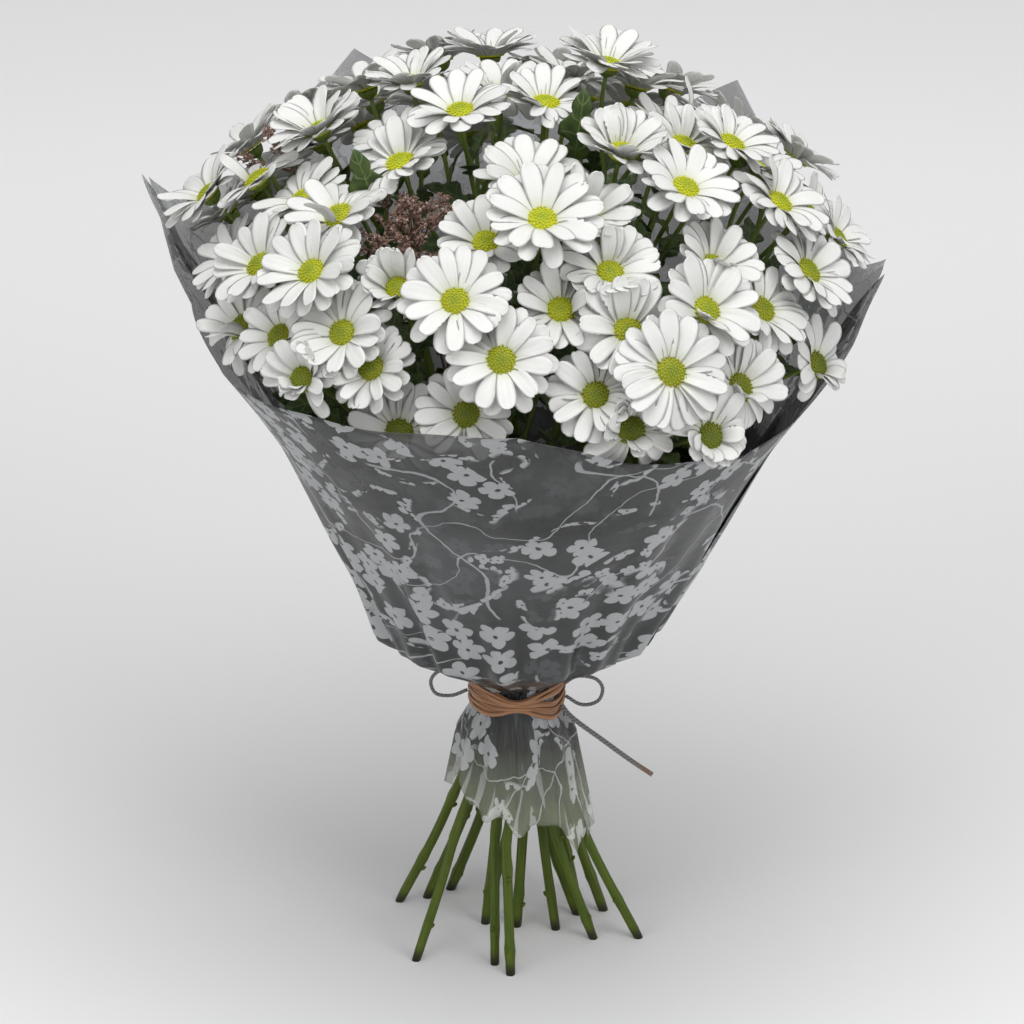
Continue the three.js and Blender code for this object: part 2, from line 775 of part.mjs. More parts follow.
function build() {
  const sprays = makeSprays();
  const seen = seenHeads();
  const heads = [...seen, ...farHeads(seen)];
  const leaves = TALL_LEAVES.map(([right, down, lift]) =>
    placed(sighted(right, down), lift, { kind: "leaf", size: 0.5 }),
  );
  const sprigs = SPRIGS.map(([right, down, lift, reach, buds, way]) =>
    placed(sighted(right, down), lift, { kind: "sprig", reach, buds, way }),
  );
  for (const item of [...heads, ...leaves]) {
    item.spray = sprays.reduce((a, b) =>
      a.middle.distanceTo(item.centre) < b.middle.distanceTo(item.centre) ? a : b,
    );
  }
  pairHeads(heads);
  const items = [...heads, ...leaves, ...sprigs];
  return { sprays, heads, leaves, sprigs, items };
}

const MATERIALS = {
  petals: new THREE.MeshStandardMaterial({ color: 0xf4f4ee, roughness: 0.6, metalness: 0 }),
  green: new THREE.MeshStandardMaterial({ color: 0x48601c, roughness: 0.6, metalness: 0 }),
  dried: new THREE.MeshStandardMaterial({ color: 0x8a6a5e, roughness: 0.8, metalness: 0 }),
  film: new THREE.MeshStandardMaterial({ color: 0x5c6062, roughness: 0.35, metalness: 0 }),
  raffia: new THREE.MeshStandardMaterial({ color: 0x96643c, roughness: 0.8, metalness: 0 }),
  cord: new THREE.MeshStandardMaterial({ color: 0x6c6e6e, roughness: 0.7, metalness: 0 }),
};

const bunch = new THREE.Group();

function addMesh(name, geometry, material) {
  const mesh = new THREE.Mesh(geometry, material);
  mesh.name = name;
  bunch.add(mesh);
}

const { sprays, heads, leaves, sprigs, items } = build();
const twoDigits = (n) => String(n).padStart(2, "0");

sprays.forEach((spray, i) => {
  const own = [...heads, ...leaves].filter((item) => item.spray === spray);
  addMesh("spray_" + twoDigits(i + 1), sprayGeometry(spray, own, 100 + i), MATERIALS.green);
});

let headCount = 0;
for (const head of heads) {
  if (head.partner && heads.indexOf(head.partner) < heads.indexOf(head)) {
    continue;
  }
  const members = head.partner ? [head, head.partner] : [head];
  const rings = members.map((member) => headGeometry(member, wallsOf(member, items)));
  headCount++;
  addMesh("heads_" + twoDigits(headCount), fuse(rings), MATERIALS.petals);
}

sprigs.forEach((sprig, i) => {
  const geometry = sprigGeometry(sprig, 40 + i, wallsOf(sprig, items));
  addMesh("dried_sprig_" + (i + 1), geometry, MATERIALS.dried);
});

addMesh("film_front", filmGeometry(FRONT_RIM, 0), MATERIALS.film);
addMesh("film_back", filmGeometry(BACK_RIM, FILM.inset), MATERIALS.film);
addMesh("raffia_band", bandGeometry(), MATERIALS.raffia);
addMesh("bow_loop_left", cordGeometry(LOOP_LEFT, CORD.radius, CORD.loopSteps), MATERIALS.cord);
addMesh("bow_loop_right", cordGeometry(LOOP_RIGHT, CORD.radius, CORD.loopSteps), MATERIALS.cord);
addMesh("loose_end", cordGeometry(TAIL, CORD.tailRadius, CORD.tailSteps), MATERIALS.cord);

export default bunch;
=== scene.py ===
import math
import random

import bpy
import numpy as np
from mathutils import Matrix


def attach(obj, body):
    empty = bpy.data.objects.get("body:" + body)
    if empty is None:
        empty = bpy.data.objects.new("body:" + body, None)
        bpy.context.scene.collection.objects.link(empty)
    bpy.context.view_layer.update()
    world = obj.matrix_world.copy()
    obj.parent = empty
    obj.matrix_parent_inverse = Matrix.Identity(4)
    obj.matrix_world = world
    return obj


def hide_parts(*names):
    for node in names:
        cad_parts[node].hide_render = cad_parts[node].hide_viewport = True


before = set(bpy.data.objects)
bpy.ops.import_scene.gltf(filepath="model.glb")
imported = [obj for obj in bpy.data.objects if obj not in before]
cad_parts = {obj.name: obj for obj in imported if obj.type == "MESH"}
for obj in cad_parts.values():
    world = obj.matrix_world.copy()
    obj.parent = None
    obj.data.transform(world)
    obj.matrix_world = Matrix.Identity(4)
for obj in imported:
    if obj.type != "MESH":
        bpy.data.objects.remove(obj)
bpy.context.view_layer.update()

bl_info = {
    "name": "Bunch of spray chrysanthemums",
    "version": (1, 0, 0),
    "blender": (4, 5, 0),
    "location": "View3D > Sidebar > Bunch",
    "description": "White daisy-shaped chrysanthemums in printed film, bound with raffia",
    "category": "Add Mesh",
}

# ---------------------------------------------------------------- sizes, in millimetres

MM = 0.001
GAP = 0.3
GOLDEN_TURN = math.pi * (3 - math.sqrt(5))

# The bunch: its dome of blooms, the neck where it is tied, and the camera's window on it
DOME = {"radius": 226, "rise": 190, "height": 387}
NECK = {"height": 174, "outer": 19.4, "inner": 13.1}
WINDOW = {"elevation": math.radians(25), "distance": 3200, "scale": 5160, "x": -3, "z": 294, "middle": 512,
          "width": 1024, "sensor": 36}

# Stems and stalks
STEM = {"radius": 3.1, "sides": 15, "steps": 60, "tip": 0.72, "swell": 0.2, "scars_below": 150,
        "first_joint": (14, 40), "joint_spacing": (38, 70), "bare_top": 20}
STALK = {"radius": 1.4, "sides": 8, "steps": 16, "foot": 1.15, "step": 8}
SPIRAL = math.radians(-65)
SPRAY = {"outer_polar": math.radians(62), "inner_polar": math.radians(24), "outer_drop": 88, "inner_drop": 98}

# Blooms; openings are 1 when flat
HEAD = {"radius": 31, "root": 7.2, "spread": 1.07, "mingle": 4.5, "from_film": 4}
CALYX = {"radius": 6.6, "depth": 7, "bracts": 10}
DISC = {"height": 4.0, "edge": 0.4, "fall": 2.2, "sides": 16, "florets": 84, "floret_sides": 5}
ROW_PITCH = [math.radians(3), math.radians(15)]
CUP = math.radians(75)
# Towards the top of the bunch the blooms cup a little more and their discs are painted lighter, as painted
# light from above; the pairs are the heights where this begins and where it is full
TOP_CUP = math.radians(12)
CUPPED_FROM = (470, 560)
PAINTED_LIGHT_FROM = (440, 530)
STEEPEST = math.radians(80)
STEEPNESS = 4
LATTICE = {"points": 90, "spacing": 52, "depth": 0.53, "front": 20, "lifts": [3, -7, -2], "opening": 0.92,
           "size": 0.95}
DEEP = {"points": 300, "spacing": 37, "depth": 0.9, "start": 1, "lifts": [-12, -17, -9], "opening": 0.9,
        "sizes": [0.86, 0.92], "from_film": 13}

# Leaves
LEAF = {"length": 50, "width": 12, "below": 14, "apart": 7, "from_film": 16}
TALL_LEAF = {"length": 38, "rise": 14, "stalk": 33, "width": 13}
HANGING_LEAF = {"width": 0.27, "tries": 14, "from_film": 7, "from_bloom": 27, "below_bloom": -5}
ON_STALKS = {"places": (4, 7, 10), "lengths": (24, 42)}
ON_STEMS = {"places": range(34, 58, 3), "lengths": (38, 56)}

# Dried sprigs
TWIG = {"stem": 0.9, "twig": 0.5, "bud": 2.3, "bud_varies": 0.9, "flowers": 11, "tries": 900, "half_way": 300}

# Film, raffia and bow
FILM = {"inset": 1.6, "front_bulge": 0.18, "back_bulge": 0.11, "lean": 0.045, "rows": 64, "curl": 10,
        "curl_depth": 32, "gather": 3.0, "skirt_gather": 1.3, "slack": 1.6, "tie": 173,
        "tie_run": 176}
# Heights between which each thing about the film sets in, or ends
FILM_FADES = {"fuller": (225, 265), "fuller_end": (520, 430), "bulge": (240, 430), "pleats": (181, 226),
              "pleats_end": (380, 230), "skirt": (165, 135), "slack": (230, 290)}
SKIRT = {"low": 97, "slant": 17, "wave": 5}
BAND = {"inner": 28.1, "middle": 173.5, "strands": 18, "steps": 96, "spread": 14.8,
        "slopes": (0.2, 1.4), "widths": (0.8, 1.5)}
CORD_RADIUS = 1.15
TAIL_RADIUS = 1.6

# Heads in the window: right, down, lift off the dome, opening, size
SEEN_HEADS = [
    (462, 124, 8, 1, 1.0), (323, 137, 5, 0.95, 0.95), (399, 158, -4, 0.8, 0.95), (258, 180, 0, 0.9, 0.95),
    (218, 203, 8, 0.95, 0.95), (337, 214, -2, 0.95, 1.0), (256, 262, -4, 0.85, 0.95), (320, 281, 10, 1, 1.0),
    (457, 308, 8, 1, 1.0), (394, 282, -8, 0.5, 0.85), (343, 334, 0, 0.9, 0.95), (368, 366, -6, 0.8, 0.85),
    (305, 380, 2, 0.75, 0.85), (388, 430, -20, 1, 0.95), (463, 410, -16, 0.85, 0.9), (502, 364, 6, 1, 0.98),
    (541, 233, 12, 1, 1.08), (485, 237, -6, 0.9, 0.9), (545, 104, 0, 0.8, 0.9), (604, 84, 12, 0.9, 1.05),
    (620, 158, 4, 0.75, 0.95), (680, 198, 8, 1, 0.98), (686, 140, -4, 0.85, 0.9), (725, 155, 8, 1, 0.9),
    (773, 210, 6, 1, 0.98), (628, 330, -2, 0.95, 1.0), (663, 377, 12, 1, 1.05), (598, 393, -8, 0.95, 0.9),
    (633, 428, -6, 1, 0.98), (708, 437, 2, 1, 0.98), (704, 312, 2, 0.9, 1.0), (745, 385, -6, 0.85, 0.9),
    (562, 303, -10, 0.85, 0.9), (612, 268, -6, 0.9, 0.95), (718, 262, -6, 0.8, 0.9), (808, 272, 0, 0.9, 0.95),
    (530, 172, -8, 0.9, 1.0), (588, 208, -6, 0.85, 0.95), (412, 86, 2, 0.85, 0.9), (272, 332, -8, 0.8, 0.8),
    (795, 158, 0, 0.85, 0.9), (248, 142, -4, 0.85, 0.9), (205, 190, -20, 0.75, 0.82),
    (500, 84, -6, 0.85, 0.9), (836, 238, 0, 0.8, 0.85),
]
# Dried sprigs: right, down, lift, reach, number of buds, then the turn at the neck and the turn and radius
# half way
SPRIGS = [
    (400, 222, -6, 27, 39, (248, 240, 40)),
    (280, 150, 6, 24, 6, (176, 180, 40)),
    (262, 350, -14, 20, 5, (216, 216, 40)),
]
TALL_LEAVES = [(580, 118, 6), (364, 172, 4)]
OUTER_FEET = [(-64, -44), (-14, -49), (-4, -62), (49, -16), (78, -15), (56, 21), (38, 46), (-14, 58),
              (-43, 49), (-58, 38), (-76, 33)]
INNER_FEET = [(0, 0), (25, -4), (39, 16), (-20, 4)]
OUTER_TURN = math.radians(-193.3)
INNER_TURN = math.radians(-33)

# The film's height and radius, and each sheet's upper edge: degrees from the front, height
FILM_PROFILE = [(80, 52), (146, 39), (165, 27.5), (181.5, 27.5), (196, 48), (220, 87), (262, 106), (362, 153),
                (465, 210), (560, 236)]
FRONT_RIM = [(-96, 508), (-88, 484), (-80, 448), (-64, 430), (-32, 444), (0, 452), (16, 424), (40, 398),
             (56, 400), (64, 406), (80, 440), (88, 457)]
BACK_RIM = [(64, 406), (80, 440), (91, 461), (100, 444), (120, 446), (136, 476), (144, 508), (152, 486),
            (168, 478), (184, 480), (195, 488), (205, 519), (213, 492), (226, 470), (240, 464), (256, 480),
            (264, 508), (272, 484)]
# Corners that curl outwards: degrees, width, share of the full curl
CURLED_CORNERS = [(91, 7, 1.0), (264, 6, 0.5), (-96, 6, 0.5)]

LOOP_LEFT = [(-30.8, -4, 179), (-37, -5, 186), (-48, -6, 187), (-54, -6, 180), (-51, -6, 171), (-41, -5, 169),
             (-31.1, -5, 173)]
LOOP_RIGHT = [(30.5, -5, 178), (38, -6, 183), (49, -7, 182), (54, -7, 175), (51, -7, 166), (41, -6, 163),
              (30.9, -6, 169)]
TAIL = [(27.6, -14.2, 166), (37, -20, 159), (53, -26, 149), (69, -32, 139), (85, -38, 130)]

# Sections of a petal: shares of its length, then places across its top and back along its underside, with
# the ribs and the depth there
PETAL_STATIONS = np.array([0, 0.07, 0.18, 0.32, 0.46, 0.6, 0.73, 0.84, 0.92, 0.975, 1.0])
PETAL_SIDES = np.array([-1, -0.67, -0.34, 0, 0.34, 0.67, 1.0, 0.4, -0.4])
PETAL_RIBS = np.array([-0.1, 0.22, -0.05, 0.25, -0.05, 0.22, -0.1, 0, 0])
PETAL_DEPTHS = np.array([0, 0, 0, 0, 0, 0, 0, -0.42, -0.42])
# How each petal varies, in the order of the draws: its place in the row, its lean in degrees, shares of its
# width and length, then its curl, sideways bow, twist in degrees, hollow and notched tip
PETAL = {"turn": (-0.16, 0.16), "lean": (-12, 8), "width": (0.84, 1.12), "length": (0.93, 1.05),
         "curl": (-2.6, 1.4), "bow": (-2, 2), "twist": (-20, 20), "hollow": (0, 0.4), "notch": (0.1, 0.55)}
# What a petal tries until it has room: shares of its length, and steps of its lean
LENGTHS = np.array([1, 0.96, 0.92, 0.86, 0.8, 0.74, 0.68, 0.6])
LEAN_STEPS = np.arange(-8, 15)
LEAN_STEP = math.radians(5)
# What the loss of the whole length would weigh, in steps of lean, and how far a petal without room leans
LENGTH_WEIGHT = 60
LAST_LEAN = math.radians(40)
# Points of a petal's outline that are tried: share of its length, share of its half width
TRIED_SHARES = np.array([0.5, 0.5, 0.8, 0.8, 0.96, 0.96, 1.02, 0.6])
TRIED_SIDES = np.array([-0.9, 0.9, -1.0, 1.0, -0.6, 0.6, 0.0, 0.0])

# A lobed leaf: share of its length, share of its half width
LOBES = [(0, 0.05), (0.05, 0.07), (0.11, 0.2), (0.17, 0.52), (0.22, 0.7), (0.27, 0.78), (0.32, 0.64),
         (0.365, 0.4), (0.4, 0.38), (0.45, 0.6), (0.52, 0.9), (0.59, 1.0), (0.66, 0.86), (0.72, 0.56),
         (0.76, 0.44), (0.81, 0.5), (0.87, 0.46), (0.93, 0.32), (0.975, 0.15), (1.0, 0.02)]


# ---------------------------------------------------------------- vectors and curves

def vec(*numbers):
    return np.array(numbers, dtype=float)


def unit(v):
    return v / np.linalg.norm(v)


def turned(turn, radius, z):
    """The point, or points, at a turn round the Z axis."""
    return np.stack([radius * np.cos(turn), radius * np.sin(turn), z + 0.0 * turn], axis=-1)


def fade(x, start, end):
    """0 up to the start, 1 from the end on and in a straight line between; either may be the higher."""
    return np.clip((x - start) / (end - start), 0, 1)


def square_to(axis, hint):
    """Two unit vectors square to an axis and to each other."""
    side = unit(np.cross(axis, hint))
    return side, np.cross(axis, side)


def ring_turns(count):
    return np.arange(count) * 2 * math.pi / count


def circle(turns, side, other):
    return np.outer(np.cos(turns), side) + np.outer(np.sin(turns), other)


def any_way(chance):
    return vec(*(chance.uniform(-1, 1) for _ in range(3)))


def seeded(seed):
    state = seed

    def draw():
        nonlocal state
        state = (state * 1664525 + 1013904223) % 4294967296
        return state / 4294967296

    return draw


def runs_along(points):
    """The length run so far at each point of a path."""
    return np.concatenate([[0], np.cumsum(np.linalg.norm(np.diff(points, axis=0), axis=1))])


def smooth_path(points, steps):
    """Points along a Catmull-Rom curve through the given ones, evenly spaced."""
    p = np.array(points, dtype=float)
    p = np.vstack([2 * p[0] - p[1], p, 2 * p[-1] - p[-2]])
    fine = []
    for i in range(1, len(p) - 2):
        for t in np.linspace(0, 1, 24, endpoint=False):
            a, b, c, d = p[i - 1:i + 3]
            fine.append(0.5 * (2 * b + (c - a) * t + (2 * a - 5 * b + 4 * c - d) * t ** 2
                               + (3 * b - a - 3 * c + d) * t ** 3))
    fine = np.array([*fine, p[-2]])
    run = runs_along(fine)
    at = np.linspace(0, run[-1], steps + 1)
    return np.column_stack([np.interp(at, run, fine[:, k]) for k in range(3)])


def table_value(table, x):
    """The value at x of a table of pairs, in a straight line between rows."""
    return np.interp(x, [row[0] for row in table], [row[1] for row in table])


# ---------------------------------------------------------------- mesh building

def linked(name, data):
    thing = bpy.data.objects.new(name, data)
    bpy.context.scene.collection.objects.link(thing)
    return thing


class Shape:
    """Vertices and faces of one piece, in millimetres, with a lie of three numbers at each vertex."""

    def __init__(self):
        self.points = []
        self.lies = []
        self.faces = []
        self.finishes = []
        self.count = 0

    def add(self, points, lies):
        """Points and lies in a grid; returns the grid of their numbers."""
        points = np.asarray(points, dtype=float)
        self.points.append(points.reshape(-1, 3))
        self.lies.append(np.asarray(lies, dtype=float).reshape(-1, 3))
        numbers = self.count + np.arange(len(self.points[-1]))
        self.count += len(numbers)
        return numbers.reshape(points.shape[:-1])

    def face(self, corners, finish=0):
        self.faces.append(tuple(corners))
        self.finishes.append(finish)

    def net(self, grid, finish=0):
        """Quads between neighbours in a grid of point numbers."""
        rows = grid.tolist()
        for low, high in zip(rows, rows[1:]):
            for j in range(len(low) - 1):
                self.face((low[j], high[j], high[j + 1], low[j + 1]), finish)

    def loft(self, rings, lies, finish=0):
        """Rings of equal length joined in order, closed at both ends."""
        grid = self.add(rings, lies)
        self.net(np.pad(grid, ((0, 0), (0, 1)), mode="wrap").T, finish)
        self.face(grid[0][::-1].tolist(), finish)
        self.face(grid[-1].tolist(), finish)

    def tube(self, path, radii, sides, ribs=0.0, level_foot=False, seed=0.0):
        """A round rod along a path, with five shallow ribs where asked for."""
        path = np.asarray(path, dtype=float)
        run = runs_along(path)
        across = vec(1, 0.13, 0.07)
        turns = ring_turns(sides)
        ribbed = 1 + ribs * np.cos(5 * turns)
        rings, lies = [], []
        for i, point in enumerate(path):
            normal = unit(path[min(i + 1, len(path) - 1)] - path[max(i - 1, 0)])
            if level_foot and i == 0:
                normal = vec(0, 0, 1)
            across = unit(across - normal * across.dot(normal))
            reach = radii[min(i, len(radii) - 1)] * ribbed
            rings.append(point + circle(turns, across, np.cross(normal, across)) * reach[:, None])
            lies.append([(run[i] * MM, turn, seed) for turn in turns])
        self.loft(rings, lies)

    def bud(self, centre, axis, radius, height, pale, sides=6, rings=3):
        """A closed round bud with its axis through both ends."""
        axis = unit(axis)
        rim = circle(ring_turns(sides), *square_to(axis, vec(0.3, 0.8, 0.52)))
        ups = [-math.cos(math.pi * (i + 0.15) / (rings + 0.3)) for i in range(rings + 1)]
        self.loft([centre + axis * height * up + rim * radius * math.sqrt(max(1 - up * up, 0.0))
                   for up in ups], [[(pale, 0, 0)] * sides] * len(ups))

    def make(self, name, materials):
        """The piece as an object that rides on the bunch's one body."""
        mesh = bpy.data.meshes.new(name)
        mesh.from_pydata((np.vstack(self.points) * MM).tolist(), [], self.faces)
        for material in materials:
            mesh.materials.append(material)
        mesh.polygons.foreach_set("material_index", self.finishes)
        mesh.polygons.foreach_set("use_smooth", [True] * len(self.faces))
        lie = mesh.attributes.new("lie", "FLOAT_VECTOR", "POINT")
        lie.data.foreach_set("vector", np.vstack(self.lies).ravel())
        mesh.validate()
        mesh.update()
        piece = linked(name, mesh)
        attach(piece, "root")
        return piece


# ---------------------------------------------------------------- places on the dome

def dome_point(azimuth, polar):
    return turned(azimuth, DOME["radius"] * math.sin(polar), DOME["height"] + DOME["rise"] * math.cos(polar))


def eye_point():
    lift, far = WINDOW["elevation"], WINDOW["distance"]
    return vec(WINDOW["x"], -far * math.cos(lift), WINDOW["z"] + far * math.sin(lift))


def sighted(right, down):
    """Where the line of sight through a point of the window meets the dome, or passes it nearest."""
    lift = WINDOW["elevation"]
    eye = eye_point()
    line = vec((right - WINDOW["middle"]) / WINDOW["scale"], math.cos(lift), -math.sin(lift))
    line = line + vec(0, math.sin(lift), math.cos(lift)) * (WINDOW["middle"] - down) / WINDOW["scale"]
    squash = vec(1 / DOME["radius"], 1 / DOME["radius"], 1 / DOME["rise"])
    start = (eye - vec(0, 0, DOME["height"])) * squash
    step = line * squash
    half = start.dot(step)
    inside = max(half * half - step.dot(step) * (start.dot(start) - 1), 0)
    return eye + line * ((-half - math.sqrt(inside)) / step.dot(step))


def outward(point):
    """The way a bloom faces: mostly square to the dome, and a little away from the neck."""
    halves = vec(DOME["radius"], DOME["radius"], DOME["rise"])
    normal = unit((point - vec(0, 0, DOME["height"])) / halves ** 2)
    return unit(0.7 * normal + 0.3 * unit(point - vec(0, 0, 200)))


def placed(point, lift, **rest):
    axis = outward(point)
    return {"centre": point + axis * lift, "axis": axis, **rest}


def lattice(points, depth, start=0):
    """Points on the dome in a sunflower spiral, from its top down."""
    return [dome_point(start + i * GOLDEN_TURN, math.acos(1 - depth * (i + 0.5) / points))
            for i in range(points)]


def crowded(point, items, spacing):
    return any(np.linalg.norm(item["centre"] - point) < spacing for item in items)


def all_heads():
    heads = [placed(sighted(right, down), lift, kind="head", opening=opening, size=size)
             for right, down, lift, opening, size in SEEN_HEADS]
    far = []
    for point in lattice(LATTICE["points"], LATTICE["depth"]):
        if point[1] > LATTICE["front"] and not crowded(point, heads + far, LATTICE["spacing"]):
            far.append(placed(point, LATTICE["lifts"][len(far) % 3], kind="head", opening=LATTICE["opening"],
                              size=LATTICE["size"]))
    return heads + far


def divider(a, b):
    """The plane between two neighbours, leaning over towards flat where one stands above the other."""
    mean = unit(a["axis"] + b["axis"])
    step = b["centre"] - a["centre"]
    normal = unit(step + mean * (STEEPNESS - 1) * step.dot(mean))
    return normal, normal.dot((a["centre"] + b["centre"]) / 2) - GAP / 2 - 0.05


def walls_of(item, items):
    walls = [divider(item, other) for other in items
             if other is not item and np.linalg.norm(other["centre"] - item["centre"]) < 2.4 * HEAD["radius"]]
    return np.array([wall[0] for wall in walls]).reshape(-1, 3), np.array([wall[1] for wall in walls])


def film_radius(turn, height):
    facing = np.cos(turn)
    bulge = np.where(facing > 0, FILM["front_bulge"] * facing, -FILM["back_bulge"] * facing)
    fuller = fade(height, *FILM_FADES["fuller"]) * fade(height, *FILM_FADES["fuller_end"])
    grown = fade(height, *FILM_FADES["bulge"])
    return table_value(FILM_PROFILE, height) * (1 + FILM["lean"] * np.sin(turn) * fuller + bulge * grown)


def in_film(points, margin):
    points = np.asarray(points)
    radius = np.hypot(points[..., 0], points[..., 1])
    return radius < film_radius(np.arctan2(points[..., 0], -points[..., 1]), points[..., 2]) - margin


def fits(points, walls, spare):
    """Which sets of points lie inside the film and on the item's own side of every wall."""
    normals, levels = walls
    clear = in_film(points, HEAD["from_film"])
    if len(levels):
        clear &= (np.asarray(points) @ normals.T < levels - spare).all(axis=-1)
    return clear.all(axis=-1)


def own_frame(item):
    """Two unit vectors across an item and the one along its axis, as rows."""
    ahead = vec(0.2, 0.1, 1)
    east = unit(ahead - item["axis"] * ahead.dot(item["axis"]))
    return np.array([east, np.cross(item["axis"], east), item["axis"]])


def upon(item, points):
    """Points given in an item's own frame."""
    return item["centre"] + points @ own_frame(item)


def make_sprays():
    def ring(feet, radius, turn, polar, drop):
        sprays = []
        for k, (x, y) in enumerate(feet):
            at = turn + 2 * math.pi * k / len(feet)
            neck = turned(at, radius, NECK["height"])
            middle = dome_point(at + SPIRAL, polar)
            fork = middle + unit(neck - middle) * drop
            sprays.append({"foot": vec(x, y, 0), "neck": neck, "middle": middle, "fork": fork,
                           "leafy": radius == NECK["outer"], "items": [], "deep": []})
        return sprays

    return (ring(INNER_FEET, NECK["inner"], INNER_TURN, SPRAY["inner_polar"], SPRAY["inner_drop"])
            + ring(OUTER_FEET, NECK["outer"], OUTER_TURN, SPRAY["outer_polar"], SPRAY["outer_drop"]))


def nearest_spray(item):
    return min(SPRAYS, key=lambda spray: np.linalg.norm(spray["middle"] - item["centre"]))


def rim_height(point):
    degrees = math.degrees(math.atan2(point[0], -point[1]))
    if degrees < FRONT_RIM[0][0]:
        degrees += 360
    return table_value(FRONT_RIM if degrees <= FRONT_RIM[-1][0] else BACK_RIM, degrees)


def deep_heads():
    """Smaller heads a little lower, wherever the others leave a gap."""
    deep = []
    for i, point in enumerate(lattice(DEEP["points"], DEEP["depth"], DEEP["start"])):
        head = placed(point, DEEP["lifts"][i % 3], kind="head", opening=DEEP["opening"],
                      size=DEEP["sizes"][i % 2])
        room = not crowded(head["centre"], ITEMS + deep, DEEP["spacing"])
        if room and in_film(head["centre"], DEEP["from_film"]) and point[2] > rim_height(point):
            deep.append(head)
    return deep


SPRAYS = make_sprays()
HEADS = all_heads()
LEAVES = [placed(sighted(right, down), lift, kind="leaf") for right, down, lift in TALL_LEAVES]
DRIED = [placed(sighted(right, down), lift, kind="sprig", reach=reach, buds=buds, way=way)
         for right, down, lift, reach, buds, way in SPRIGS]
ITEMS = HEADS + LEAVES + DRIED
DEEP_HEADS = deep_heads()
for growing, held in (("items", HEADS + LEAVES), ("deep", DEEP_HEADS)):
    for thing in held:
        nearest_spray(thing)[growing].append(thing)


# ---------------------------------------------------------------- shader maths

def maths(operation, swapped=False):
    """A method that adds one Math node to a signal and to what is given with it."""
    def method(self, *others):
        values = [self, *others]
        return self.finish.node("ShaderNodeMath", {"operation": operation},
                                dict(enumerate(values[::-1] if swapped else values)))
    return method


class Signal:
    """A value on its way through a material: arithmetic on it adds the Math nodes."""

    def __init__(self, finish, socket):
        self.finish = finish
        self.socket = socket

    __add__ = __radd__ = maths("ADD")
    __sub__, __rsub__ = maths("SUBTRACT"), maths("SUBTRACT", swapped=True)
    __mul__ = __rmul__ = maths("MULTIPLY")
    __truediv__, __rtruediv__ = maths("DIVIDE"), maths("DIVIDE", swapped=True)
    __pow__, __rpow__ = maths("POWER"), maths("POWER", swapped=True)
    __abs__, sine, floor = maths("ABSOLUTE"), maths("SINE"), maths("FLOOR")
    turned, largest = maths("ARCTAN2"), maths("MAXIMUM")

    def rising(self, low, high):
        """0 below low, 1 above high and smooth between; the two may be the other way round."""
        return self.finish.node("ShaderNodeMapRange", {"interpolation_type": "SMOOTHSTEP"},
                                {0: self, 1: low, 2: high, 3: 0.0, 4: 1.0})


class Finish:
    """One material, whose principled shader takes the values and signals that it is given."""

    def __init__(self, name):
        self.material = bpy.data.materials.new(name)
        self.material.use_nodes = True
        self.tree = self.material.node_tree
        self.shader = self.tree.nodes["Principled BSDF"]

    def node(self, kind, settings, inputs, output=0):
        node = self.tree.nodes.new(kind)
        for name, value in settings.items():
            setattr(node, name, value)
        for key, value in inputs.items():
            self.feed(node.inputs[key], value)
        return Signal(self, node.outputs[output])

    def feed(self, socket, value):
        if isinstance(value, Signal):
            self.tree.links.new(value.socket, socket)
        elif hasattr(socket.default_value, "__len__") and len(socket.default_value) == 4:
            socket.default_value = (*value, 1)
        else:
            socket.default_value = value

    def set(self, **values):
        for name, value in values.items():
            self.feed(self.shader.inputs[name.replace("_", " ")], value)

    def lie(self):
        """The three numbers that the mesh carries at each point."""
        return self.node("ShaderNodeAttribute", {"attribute_name": "lie"}, {}, "Vector")

    def place(self):
        """The point in the object's own frame, in metres."""
        return self.node("ShaderNodeTexCoord", {}, {}, "Object")

    def split(self, vector):
        node = self.node("ShaderNodeSeparateXYZ", {}, {0: vector}).socket.node
        return [Signal(self, output) for output in node.outputs]

    def join(self, x, y, z):
        return self.node("ShaderNodeCombineXYZ", {}, {0: x, 1: y, 2: z})

    def vector_maths(self, operation, *vectors):
        return self.node("ShaderNodeVectorMath", {"operation": operation}, dict(enumerate(vectors)))

    def noise(self, vector, scale, detail=3.0, roughness=0.5, flat=False, output=0):
        return self.node("ShaderNodeTexNoise", {"noise_dimensions": "2D"} if flat else {},
                         {"Vector": vector, "Scale": scale, "Detail": detail, "Roughness": roughness}, output)

    def mix(self, share, first, second):
        return self.node("ShaderNodeMix", {"data_type": "RGBA"}, {0: share, 6: first, 7: second}, 2)

    def bump(self, height, strength, distance):
        inputs = {"Height": height, "Strength": strength, "Distance": distance}
        self.set(Normal=self.node("ShaderNodeBump", {}, inputs))


def colours():
    return bpy.context.scene.bunch_colours


def sizes():
    return bpy.context.scene.bunch_sizes


def petal_finish():
    f = Finish("white petals")
    along, across, chance = f.split(f.lie())
    grooves = (across * 9.4).sine() * 0.5 + 0.5
    fine = f.noise(f.join(along * 3.0, across * 26.0, chance * 9.0), 1.0, 2.0)
    colour = f.mix(fine.rising(0.3, 0.75) * 0.5, colours().petal, (0.6, 0.61, 0.58))
    colour = f.mix(along.rising(0.38, 0.0) * 0.5, colour, colours().petal_root)
    f.set(Base_Color=colour, Roughness=0.55)
    f.bump(grooves * 0.6 + fine * 0.6, 0.3, 0.0005)
    return f.material


